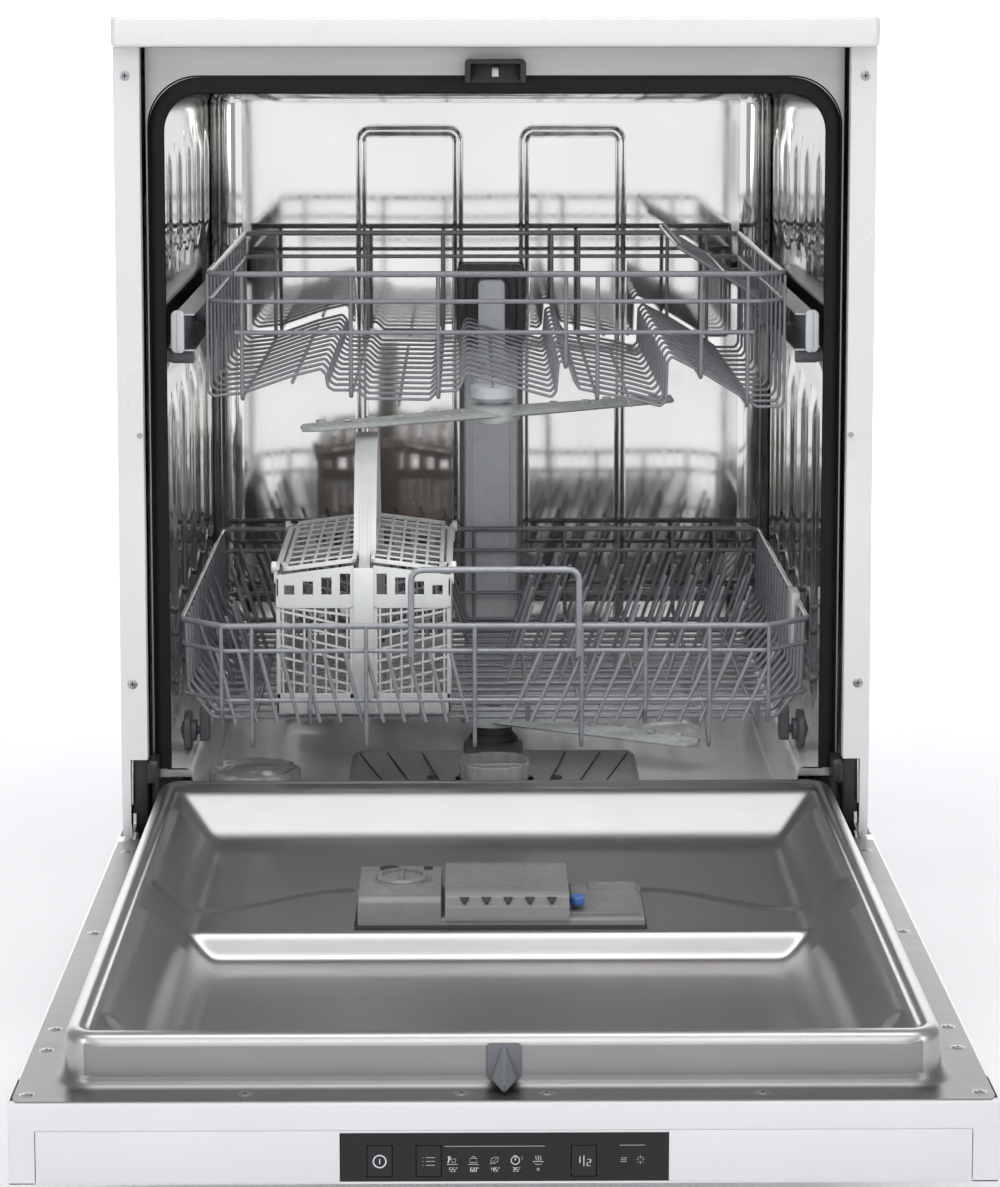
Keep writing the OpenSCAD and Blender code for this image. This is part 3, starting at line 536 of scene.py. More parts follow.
# ---------------------------------------------------------------- door liner
def liner():
    X, Y0, Y1, R = 270.0, -616.0, 22.0, 22.0
    RZ = 237.0

    def sdf(x, y):
        cx_, cy_ = 0.0, (Y0 + Y1) / 2
        qx, qy = abs(x - cx_) - (X - R), abs(y - cy_) - ((Y1 - Y0) / 2 - R)
        return -(math.hypot(max(qx, 0), max(qy, 0)) + min(max(qx, qy), 0) - R)

    def smax(a, b, k):
        h = max(k - abs(a - b), 0) / k
        return max(a, b) + h * h * k / 4

    def smin(a, b, k):
        return -smax(-a, -b, k)

    def height(x, y):
        d = sdf(x, y)
        fl = 187 + 17 * sm((y + 307) / 16)
        # soft crease in the upper floor beside the dispenser
        if y > -292:
            ax = abs(x)
            curve = -187 - 52 * sm((ax - 112) / 100)
            fl += 2.2 * bump_at(y, curve, 0.9, 4.2) * sm((ax - 103) / 4) * sm((250 - ax) / 14)
        else:
            fl += 1.2 * bump_at(y, -450, 100, 30) * sm((215 - abs(x)) / 40)
        ex = X - abs(x)
        zx = RZ - (ex - 16) * 1.02
        # raised pressing along each side wall
        zx += 5.5 * bump_at(y, -450, 112, 12) * bump_at(ex, 34, 8, 9) + 5.0 * bump_at(y, -165, 95, 12) * bump_at(ex, 32, 7, 9)
        zf = RZ - (-14 - y) * 0.86
        zn = RZ - (y + 604) * 2.3
        z = smax(smax(zx, zf, 5), smax(zn, fl, 7), 7)
        z = smin(RZ, z, 4)
        # a shallow bead runs round the rim
        z -= 1.6 * bump_at(d, 12.5, 0.6, 2.2)
        if d < 7:
            z = min(z, RZ - 7 + math.sqrt(max(0.0, 49 - (7 - d) ** 2)))
        return z

    ys = []
    y = Y0
    while y < Y1:
        ys.append(y)
        near = min(y - Y0, Y1 - y)
        step = 1.2 if near < 26 else 2.6
        if -66 < y < -10 or -312 < y < -288 or y < -580:
            step = 1.6
        y += step
    ys.append(Y1)
    us = []
    N = 190
    for i in range(N + 1):
        t = -1 + 2 * i / N
        us.append(math.copysign(1 - (1 - abs(t)) ** 1.25, t) if True else t)

    def f(a, b):
        yy = ys[int(round(b * (len(ys) - 1)))]
        dy = min(yy - Y0, Y1 - yy)
        w = X if dy >= R else X - R + math.sqrt(max(0.0, R * R - (R - dy) ** 2))
        xx = us[int(round(a * N))] * w
        return (xx, yy, height(xx, yy))

    m = M()
    m.sheet(f, N, len(ys) - 1)
    bm = m.bm
    edge = [e for e in bm.edges if e.is_boundary]
    ret = bmesh.ops.extrude_edge_only(bm, edges=edge)
    for v in ret["geom"]:
        if isinstance(v, bmesh.types.BMVert):
            v.co.z = 203.7
    bmesh.ops.recalc_face_normals(bm, faces=bm.faces)
    # the camera-facing apron faces go to their own object in the darker steel copy: painted shade
    ap = M()
    ap.bm = bm.copy()

    def is_apron(fc):
        return fc.normal.y < -0.97 and fc.calc_center_median().z < RZ - 6

    bmesh.ops.delete(bm, geom=[fc for fc in bm.faces if is_apron(fc)], context="FACES")
    bmesh.ops.delete(ap.bm, geom=[fc for fc in ap.bm.faces if not is_apron(fc)], context="FACES")
    m.done("liner_pressing", SATIN, "door", SLOTS["door_liner"], ["door_liner"], angle=70)
    ap.done("liner_apron_painted_shade", SHADED_APRON_ST, "door", SLOTS["door_liner"], angle=70)

    # flat flange round the pan, joined to it by a small radius
    inner = []
    for k in range(60):
        inner.append((-X, -9.4 - (594 - 9.4) * k / 60, -1, 0))
    for k in range(17):
        a = math.radians(180 + 90 * k / 16)
        inner.append((-(X - R) + R * math.cos(a), Y0 + R + R * math.sin(a), math.cos(a), math.sin(a)))
    for k in range(1, 50):
        inner.append((-(X - R) + 2 * (X - R) * k / 50, Y0, 0, -1))
    inner += [(-x, y, -nx, ny) for x, y, nx, ny in reversed(inner[:77])]
    prof = [(-0.6, 212)] + [(7 - 7 * math.cos(math.radians(a)), 211 - 7 * math.sin(math.radians(a))) for a in range(0, 91, 15)]
    m = M()
    n_in = len(inner)

    def fl_(u, v):
        i = int(round(u * (n_in - 1)))
        j = int(round(v * 13))
        x, y, nx, ny = inner[i]
        if j < len(prof):
            o, z = prof[j]
            return (x + nx * o, y + ny * o, z)
        # run out to the rectangle
        t = (j - len(prof) + 1) / (13 - len(prof))
        t = min(t, 1.0)
        ox, oy = x + nx * 7, y + ny * 7
        if nx == 0:
            ex, ey = ox, -640.4
        elif ny == 0:
            # cut back beside the hinges
            ex, ey = math.copysign(297.4 if oy < -45 else 279.2, nx), oy
        else:
            k1 = (297.4 - abs(ox)) / max(abs(nx), 1e-6)
            k2 = (oy + 640.4) / max(-ny, 1e-6)
            k_ = min(k1, k2)
            ex, ey = ox + nx * k_, oy + ny * k_
        z = 204.1 - (0.45 if j == 13 else 0)
        if j == 13:
            t = 1.0
        return (ox + (ex - ox) * t, oy + (ey - oy) * t, z)

    m.sheet(fl_, n_in - 1, 13)
    # the flange takes the darker copy of the liner steel: painted shade
    m.done("liner_flange", SHADED_FLANGE_ST, "door", SLOTS["door_liner"], angle=60)


liner()


# ---------------------------------------------------------------- racks
def racks():
    B = "upper_rack"
    y0, y1 = 45.0, 492.0

    def prof(y, k=0.0):
        return [(-231, y, 644), (-231, y, 549), (-226, y, 545.5), (-203, y, 548), (-163, y, 562), (-140, y, 567.5), (-136, y, 563), (-134.5, y, 553), (-130, y, 550.2),
                (-110.6, y, 550.2), (-103.4, y, 543.3), (-53, y, 542.5), (-46.7, y, 549), (-31, y, 549.7), (-28, y, 553), (-25, y, 561.5), (-22, y, 564), (-12, y, 561), (32.6, y, 548),
                (45.6, y, 544.5), (49, y, 548.7), (51, y, 572.6), (55.3, y, 574.3), (59.7, y, 570.4), (64, y, 557.5), (68.4, y, 551), (114, y, 542.3), (133.3, y, 537), (137.6, y, 541.2),
                (138.7, y, 572.6), (142, y, 577.3), (166, y, 565), (201.5, y, 543.3), (211, y, 536.4), (229.7, y, 536.4), (232.9, y, 541.2), (232.9, y, 643)]

    lines = [prof(y0 + 3 + i * 36.5) for i in range(13)]
    wires("upper_rack_floor_wires", lines, 1.25, B, ["upper_rack_frame"], fil=3)
    fl = []
    for x, z in ((-203.2, 546), (-163, 559.6), (-115.9, 548), (-78, 540.6), (-45.7, 547), (-2, 556), (56.9, 571.5), (82.3, 546), (110, 540.6), (165.7, 563), (203.1, 540)):
        front = x in (-203.2, -115.9, -45.7, 56.9, 82.3, 165.7, 203.1)
        a = [(x, y0, 644)] if front else []
        b = [(x, y1, 644)] if front else []
        fl.append(a + [(x, y0 + (0 if front else 3), z - 3), (x, y1 - (0 if front else 3), z - 3)] + b)
    wires("upper_rack_long_wires", fl, 1.75, B, fil=6)
    rim = [(-209, y0, 644), (-230.5, y0 + 12, 644), (-231.5, y1 - 12, 644), (-215, y1, 644), (215, y1, 644), (232.5, y1 - 12, 644), (232.5, y0 + 12, 644), (212, y0, 644)]
    wires("upper_rack_rim", [rim + [rim[0]]], 2.5, B, fil=10, cyc=False)
    mid = [(p[0], p[1], 622) for p in rim]
    wires("upper_rack_mid_rail", [mid + [mid[0]], [(-209, y0, 597), (208, y0, 597)]], 1.9, B, fil=8)
    # side carriers with their wheels, which run in the rails
    m = M()
    for s in (-1, 1):
        for y in (240, 420):
            m.prism(rrect(y - 17, y + 17, 583, 627, 5), "x", s * 231.5, s * 239, 1.0)
            m.lathe([(0, 0), (12.4, 0), (12.9, 0.6), (12.9, 7), (12.3, 8), (6, 8.4), (5, 9.4), (0, 9.4)], (s * 246 if s > 0 else -255.4, y, 598), "x", 40)
            m.lathe([(0, 0), (5, 0), (5, 9), (0, 9)], (s * 238 if s > 0 else -247, y, 598), "x", 24)
        m.prism(rrect(215, 445, 604, 612, 3), "x", *sorted((s * 233.8, s * 236.6)), 0.5)
    m.done("upper_rack_carriers", GREY, B, SLOTS["upper_arm_feed"])

    # cup shelf: leaning comb of wires with a loop edge
    ca, sa = math.cos(math.radians(32)), math.sin(math.radians(32))

    def S_(a, y, h=0):
        return (223.8 - a * ca + h * sa, y, 612 + a * sa + h * ca)

    L = [[S_(0, 188), S_(0, 442)]]
    for i in range(13):
        y = 200 + i * 19
        L.append([S_(0, y), S_(52, y), S_(76, y), S_(80, y, 4)])
    L.append([S_(30, 196, 1), S_(30, 434, 1)])
    L.append([S_(78, 196), S_(78, 434)])
    L.append([S_(0, 192), S_(80, 192), S_(80, 438), S_(0, 438)])
    wires("cup_shelf_wires", L, 1.6, "cup_shelf", ["cup_shelf"], fil=4)
    m = M()
    for y in (205, 300, 425):
        m.prism(rrect(-4.8, 4.8, -4.2, 4.2, 3), "y", y - 6, y + 6, 0.8, mtx=Matrix.Translation((223.8, 0, 612)))
    m.done("cup_shelf_clips", GREY, "cup_shelf", SLOTS["upper_arm_feed"])

    # lower rack
    B = "lower_rack"
    y0, y1, X = 40.0, 512.0, 256.0

    def ring(x, a, b, z):
        return [(-x + 10, b, z), (-x, b - 10, z), (-x, a + 30, z), (-x + 36, a, z), (x - 36, a, z), (x, a + 30, z), (x, b - 10, z), (x - 10, b, z), (-x + 10, b, z)]

    wires("lower_rack_rim", [ring(X, y0, y1, 358.5)], 2.55, B, ["lower_rack_frame"], fil=12)
    wires("lower_rack_side_rails", [ring(X - 0.6, y0 + 1, y1 - 1, 338), ring(X - 1.2, y0 + 2, y1 - 2, 297)], 1.9, B, fil=12)
    L = []
    for i in range(18):
        y = y0 + 38 + i * 25.4
        if y > y1 - 14:
            break
        L.append([(-X + 2, y, 358), (-X + 4, y, 300), (-X + 24, y, 275), (X - 24, y, 275), (X - 4, y, 300), (X - 2, y, 358)])
    wires("lower_rack_cross_wires", L, 1.75, B, fil=8)
    L = []
    for x in (-197.4, -151, -104.6, -60, -16.6, 27, 70.3, 122, 173.9, 214):
        hook = x in (-197.4, -104.6, -16.6, 70.3, 173.9)
        if hook:
            L.append([(x, y0 - 1, 358), (x, y0 - 1, 262), (x, y0 + 6, 257.5), (x, y0 + 16, 262), (x, y0 + 26, 277.8), (x, y1 - 14, 277.8), (x, y1 - 1, 292), (x, y1 - 1, 358)])
        else:
            L.append([(x, y0 + 1, 297), (x, y0 + 12, 277.8), (x, y1 - 14, 277.8), (x, y1 - 1, 292), (x, y1 - 1, 358)])
    wires("lower_rack_long_wires", L, 1.75, B, fil=6)
    # front uprights between the rails
    L = []
    for x in (-222, -150, 122, 222):
        L.append([(x, y0 - 0.5, 358), (x, y0 - 0.5, 290), (x, y0 + 10, 277)])
    wires("lower_rack_front_uprights", L, 1.75, B, fil=5)
    L = [[(12 + 17.2 * i + 25, y0 + 0.5, 337), (12 + 17.2 * i, y0 + 2.5, 279)] for i in range(12)]
    L += [[(-22 - 17.2 * i - 14, y0 + 0.5, 337), (-22 - 17.2 * i, y0 + 2.5, 279)] for i in range(12)]
    wires("lower_rack_slanted_wires", L, 1.7, B, fil=0)
    wires("lower_rack_loop_handle", [[(-68, y0 - 2, 334), (-68, y0 - 2, 405), (68, y0 - 2, 405), (68, y0 - 2, 334)]], 2.7, B, fil=10)

    def tines(y, xs, s, z0=276, z1=349):
        out = []
        for x in xs:
            out.append([(x, y, z0), (x + s * 25, y, z1)])
        return out

    L = []
    for y in (260, 315):
        L += tines(y, [10 + 24 * i for i in range(9)], 1)
        L += [[(8, y, 277.5), (238, y, 277.5)]]
    for y in (370, 425, 480):
        L += tines(y, [22 + 24 * i for i in range(9)], 1)
        L += tines(y, [-22 - 24 * i for i in range(9)], -1)
        L += [[(-238, y, 277.5), (238, y, 277.5)]]
    for y in (130, 210, 260, 315):
        L += tines(y, [-224, -200], -1)
    wires("lower_rack_tines", L, 1.65, B, fil=0)
    for nm, x0, n, s in (("right_fold_tines", 10, 9, 1), ("left_fold_tines", -240, 2, -1)):
        L = [[(x0 - 1, 178, 281.5), (x0 + (n - 1) * 24 + 9, 178, 281.5)]]
        L += [[(x0 + 1 + i * 22.6, 178, 281.5), (x0 + 1 + i * 22.6 + s * 22, 178, 350)] for i in range(n)] if s > 0 else [[(x0 + 17 + i * 20, 178, 281.5), (x0 - 3 + i * 20, 178, 350)] for i in range(n)]
        wires(nm + "_wires", L, 1.75, nm, [nm], fil=0)
    m = M()
    for s in (-1, 1):
        for y in (95, 425):
            m.prism(rrect(y - 9, y + 9, 252, 281, 4), "x", *sorted((s * 236, s * 244)), 1.0)
            m.lathe([(0, 0), (3.5, 0), (3.5, 20), (0, 20)], (240 if s > 0 else -260, y, 260.5), "x", 20)
    m.prism(rrect(-8, 8, 334, 362, 3), "x", 254.0, 258.6, 1, mtx=Matrix.Translation((0, 150, 0)))
    m.done("lower_rack_axle_blocks", DGREY, B, SLOTS["front_wheels"])
    m = M()
    m.prism([(142, 318), (170, 318), (174, 330), (170, 366), (142, 366), (138, 330)], "x", 250.5, 257.8, 1.2)
    m.done("lower_rack_side_clip", LGREY, B, SLOTS["cutlery_basket"])
    for nm, y in (("front_wheels", 95), ("rear_wheels", 425)):
        m = M()
        for s in (-1, 1):
            c = (247 if s > 0 else -259, y, 260.5)
            fl_ = 1 if s > 0 else -1
            pr = [(3.6, 0.2), (8.8, 0.2), (9, 0.8), (9, 4), (15.6, 4.2), (16.4, 5), (16.4, 9), (15.6, 9.8), (13.6, 9.8), (13, 8.6), (8, 8.6), (7.4, 11.8), (3.6, 11.8)]
            if s < 0:
                pr = [(r, 12 - h) for r, h in pr]
            m.lathe(pr, c, "x", 56)
            for k in range(6):
                a = k * PI / 3
                mt = Matrix.Translation((c[0] + (8.9 if s > 0 else 3.1), y, 260.5)) @ Matrix.Rotation(a, 4, "X")
                m.box(-0.7, 0.7, -0.8, 0.8, 7.6, 13.6, 0.3, 1, mt)
        m.done(nm + "_moulded", DGREY, nm, SLOTS[nm], [nm])


racks()


# ---------------------------------------------------------------- cabinet details
LIGHTDUCT = mat_plain("duct_plastic", (0.56, 0.58, 0.60), 0.28, vary=0.06, nscale=25, bump=0.1, bscale=1400, bevel=0.0007)
ARM = mat_plain("spray_arm_plastic", (0.46, 0.48, 0.48), 0.25, vary=0.07, nscale=28, bump=0.12, bscale=1300, bevel=0.0005)
ARM.node_tree.nodes["Principled BSDF"].inputs["Transmission Weight"].default_value = 0.12
SMOKE = mat_plain("smoke_plastic", (0.36, 0.37, 0.375), 0.2, vary=0.08, nscale=30, bump=0.06, bscale=900, bevel=0.0006, coat=0.4)
SMOKE.node_tree.nodes["Principled BSDF"].inputs["Transmission Weight"].default_value = 0.3


def seal():
    def path(hx_, top, r, z0):
        pts = [(-hx_, 34.45, z) for z in range(z0, int(top - r), 14)]
        for k in range(13):
            a = math.radians(180 - 90 * k / 12)
            pts.append((-(hx_ - r) + r * math.cos(a), 34.45, top - r + r * math.sin(a)))
        for k in range(1, 30):
            pts.append((-(hx_ - r) + 2 * (hx_ - r) * k / 30, 34.45, top))
        return pts + [(-x, y, z) for x, y, z in reversed(pts[:len(pts) - 29])]

    m = M()
    m.tube(path(269.6, 796.3, 36, 243), 6.9, 14, flat=0.36)
    # inner lip and outer bead
    m.tube(path(264.6, 790.6, 32, 244), 2.2, 8, flat=1.0)
    m.tube(path(275.2, 802.4, 40, 244), 1.5, 8, flat=1.2)
    m.done("seal_lip", RUBBER, "cabinet", SLOTS["door_seal"], ["door_seal"], angle=60)


seal()


def cabinet():
    # worktop with softly rounded edges
    m = M()
    m.prism(rrect(-299, 299, -20, 547, 8, 6), "z", 826, 850, 3.2, 4)
    m.done("worktop_board", LAMINATE, "cabinet", SLOTS["worktop"], ["worktop"], angle=50)
    # hinge recess covers and the upright steel links in them
    m = M()
    for s in (-1, 1):
        m.prism([(4, 232), (4, 262), (10, 266), (30, 266), (30, 142), (12, 142)], "x", s * 279.5, s * 292, 1.2)
        m.prism([(20, 214), (24, 246), (36, 246), (36, 206), (30, 200)], "x", s * 271.6, s * 278, 1.0)
        m.prism([(3.5, 238), (3.5, 253), (6, 256), (30, 256), (30, 238)], "x", s * 271.2, s * 279.6, 0.8)
    m.done("hinge_covers", BLACK_PLASTIC_AND_SHADE, "cabinet", SLOTS["door_lock"])
    m = M()
    for s in (-1, 1):
        m.tube([(s * 290.8, y_, z_) for y_, z_ in ((0.2, 222), (1, 240), (2.2, 258), (6, 263), (16, 264))], 0.9, 8)
        m.prism([(55, 214), (1.6, 214), (1.6, 137), (55, 137)], "x", s * 288.0, s * 290.4, 0.3)
        m.prism([(55, 136), (57.4, 136), (57.4, 196), (55, 196)], "x", s * 288.0, s * 297, 0.3)
        m.prism([(-24, 181), (-24, 200), (-8, 204), (0, 206), (1.6, 212), (1.6, 137), (0, 176), (-8, 178)], "x", s * 288.0, s * 290.4, 0.3)
    m.done("hinge_links", ZINC, "cabinet", SLOTS["hinge_brackets"])
    m = M()
    for s in (-1, 1):
        m.tube([(s * 291.2, y_, z_) for y_, z_ in ((-20, 183), (-15, 196), (-7.5, 207))], 0.7, 8)
    m.done("hinge_straps", ZINC, "door", SLOTS["hinge_arms"])
    # lock in the middle of the top frame
    m = M()
    m.prism([(-24, 797), (24, 797), (24, 814), (22, 816), (-22, 816), (-24, 814)], "y", 29, 33.0, 0.8)
    m.prism([(-24, 812.7), (24, 812.7), (24, 814), (22, 816), (-22, 816), (-24, 814)], "y", 2.2, 29, 0.6)
    for s in (-1, 1):
        m.box(*sorted((s * 19.4, s * 24)), 2.2, 29, 798, 813, 0.6)
    m.done("lock_housing", BLACK_PLASTIC_AND_SHADE, "cabinet", SLOTS["door_lock"], ["door_lock"])
    m = M()
    m.box(-3, 3, 20, 28.5, 802, 810, 0.8)
    m.done("lock_tongue", ZINC, "cabinet", SLOTS["hinge_brackets"])

    # cross-head screws: domed head, crossed slots as two dark bars, painted shade standing in for the recess
    def screw(m1, m2, c, axis, r=4.0, flat=0.62):
        x, y, z = c
        pr = [(0, 0), (r, 0), (r, 0.25), (r * 0.86, 1.1), (r * 0.5, 1.65), (0, 1.75)]
        if axis == "y":
            m1.lathe([(a, -h * flat) for a, h in pr], (x, y, z), "y", 28)
            for a, b in ((r * 0.5, 0.45), (0.45, r * 0.5)):
                m2.box(x - a, x + a, y - 1.75 * flat - 0.07, y - 1.3 * flat, z - b, z + b, 0.1, 1)
        else:
            m1.lathe([(a, h * 0.42) for a, h in pr], (x, y, z + 0.35), "z", 28)
            m1.lathe([(r + 0.1, 0.35), (r + 0.9, 0.1), (r + 1.5, 0.42), (r + 0.9, 0.66), (r + 0.1, 0.5)], (x, y, z), "z", 28)
            for a, b in ((r * 0.5, 0.45), (0.45, r * 0.5)):
                m2.box(x - a, x + a, y - b, y + b, z + 0.8, z + 1.14, 0.1, 1)

    a, b = M(), M()
    for s in (-1, 1):
        for z in (320, 803.5):
            screw(a, b, (s * 289.6, 0, z), "y", 4.0, 0.62 if z < 500 else 0.3)
        for z in (520,):
            a.lathe([(0, 0), (2.2, 0), (2.0, -0.9), (0, -1.2)], (s * 281.5, 0, z), "y", 20)
    a.done("side_screws", SCREW, "cabinet", SLOTS["panel_screws"], ["panel_screws"])
    b.done("side_screw_slots_painted_shade", BLACK_PLASTIC_AND_SHADE, "cabinet", SLOTS["door_lock"])
    a, b = M(), M()
    for s in (-1, 1):
        for y in (-546, -505, -294, -78):
            screw(a, b, (s * 288, y, 203.6), "z", 3.6)
    for x in (-289, -157, -26, 26, 157, 289):
        screw(a, b, (x, -628, 203.6), "z", 3.6)
    a.done("door_flange_screws", SCREW, "door", SLOTS["door_screws"], ["door_screws"])
    b.done("door_flange_screw_slots_painted_shade", BLACK_PLASTIC_AND_SHADE, "door", SLOTS["door_lock"])

    # rear water duct with the docking ring
    m = M()
    m.prism(rrect(-25.5, 25.5, 526, 535.6, 3.5), "z", 214, 540, 0.8)
    for x in (-19, 19):
        m.box(x - 1.2, x + 1.2, 524.6, 527, 226, 530, 0.5)
    m.prism(rrect(-14, 14, 206, 215, 3), "y", 262, 526, 1.0)
    m.done("duct_riser", LIGHTDUCT, "cabinet", SLOTS["rear_water_duct"], ["rear_water_duct"])
    m = M()
    m.prism(rrect(-33, 33, 534, 612, 9), "y", 518, 535.4, 2.4, 3)
    m.prism(rrect(-22, 22, 600, 611, 4), "y", 510, 520, 1.2)
    m.lathe([(13, 0), (17, 0), (17.6, -1.5), (17.6, -14), (16.6, -16), (13.4, -16), (13, -14)], (0, 518, 587), "y", 48)
    m.lathe([(20, 0), (24, 0), (24, -3), (20, -3)], (0, 518, 587), "y", 48)
    for s in (-1, 1):
        m.prism(rrect(s * 27 - 3, s * 27 + 3, 548, 606, 2.5), "y", 513, 519, 1.0)
    m.lathe([(8.7, 206), (9.0, 207), (9.0, 241), (8, 244), (0, 244)], (0, 270, 0), "z", 32)
    m.done("duct_dock", DGREY, "cabinet", SLOTS["rear_water_duct"])

    # rail channels, rolled edges
    for nm, s in (("left_rail", -1), ("right_rail", 1)):
        m = M()
        prof = [(240.4, 613), (256.5, 613), (258, 611.5), (258, 584.5), (256.5, 583), (240.4, 583), (240.4, 584.3), (256, 584.3), (256.7, 585), (256.7, 611), (256, 611.7), (240.4, 611.7)]
        m.prism([(s * x, z) for x, z in prof], "y", 38, 505, 0)
        m.done(nm + "_channel", RAILST, "rails", SLOTS[nm], [nm])
    m = M()
    for s in (-1, 1):
        m.prism(rrect(min(s * 248.5, s * 259), max(s * 248.5, s * 259), 582, 616, 4.5), "y", 32.4, 38, 1.2, 3)
        m.prism(rrect(min(s * 248.5, s * 254.5), max(s * 248.5, s * 254.5), 582, 616, 2.9), "y", 31.8, 34, 0.6, 3)
    m.done("rail_stops", LIGHTDUCT, "rails", SLOTS["rail_end_caps"], ["rail_end_caps"])
    for nm, y in (("front_rail_rollers", 70), ("rear_rail_rollers", 300)):
        m = M()
        for s in (-1, 1):
            m.lathe([(2.6, 0), (5.9, 0), (6.45, 0.8), (6.45, 17), (5.9, 18), (2.6, 18)], (244 if s > 0 else -262, y, 576), "x", 40)
        m.done(nm + "_turned", GREY, nm, SLOTS[nm], [nm])


cabinet()


# ---------------------------------------------------------------- tub bottom and spray arms
def blade(name, L, z, yc, ang, w0, w1, th, hub, body, node, mat):
    m = M()
    mt = Matrix.Translation((0, yc, z)) @ Matrix.Rotation(math.radians(ang), 4, "Z")

    def wid(t):
        a = abs(t)
        w = w0 + (w1 - w0) * sm(a)
        if a > 0.93:
            w *= math.sqrt(max(0.0, 1 - ((a - 0.93) / 0.07) ** 2))
        return max(w, 0.05)

    def top(u, v):
        t = -1 + 2 * u
        s = -1 + 2 * v
        w = wid(t)
        zz = th * (0.35 + 0.65 * math.sqrt(max(0, 1 - abs(s) ** 2.6)))
        zz *= 0.72 + 0.28 * (1 - abs(t)) + 0.10 * bump_at(abs(s), 0, 0.16, 0.12)
        p = mt @ Vector((t * L, s * w + 4 * math.copysign(sm(abs(t)), t), zz))
        return p

    def bot(u, v):
        t = -1 + 2 * u
        s = 1 - 2 * v
        w = wid(t)
        p = mt @ Vector((t * L, s * w + 4 * math.copysign(sm(abs(t)), t), th * 0.35 - th * 0.35 * math.sqrt(max(0, 1 - abs(s) ** 3))))
        return p

    m.sheet(top, 110, 18)
    m.sheet(bot, 110, 12)
    bmesh.ops.remove_doubles(m.bm, verts=m.bm.verts, dist=0.02)
    bmesh.ops.recalc_face_normals(m.bm, faces=m.bm.faces)
    m.lathe([(9.3, -2), (hub, -2), (hub, th - 1), (hub - 3, th + 2), (13, th + 3.4), (11, th + 4), (9.3, th + 4)], (0, yc, z), "z", 48)
    for t, o in ((0.34, 3), (0.5, -3), (0.64, 3), (0.78, -2), (0.9, 2)):
        for s in (-1, 1):
            mm_ = mt @ Matrix.Translation((s * t * L, o + 4 * s * sm(t), th * 0.86)) @ Matrix.Rotation(0.5 * s, 4, "Z")
            m.lathe([(1.6, 0), (4.2, 0), (4.2, 0.9), (3.2, 1.9), (1.9, 1.9), (1.6, 1.2)], (0, 0, 0), "z", 20, mtx=mm_)
    m.done(name, mat, body, SLOTS[node], [node], angle=50)


blade("upper_arm_blade", 188, 502.6, 245, 30, 23, 15, 8, 23, "upper_spray_arm", "upper_spray_arm", ARM)
blade("lower_arm_blade", 205, 229, 270, -33, 26, 16, 9, 29, "lower_spray_arm", "lower_spray_arm", ARM)


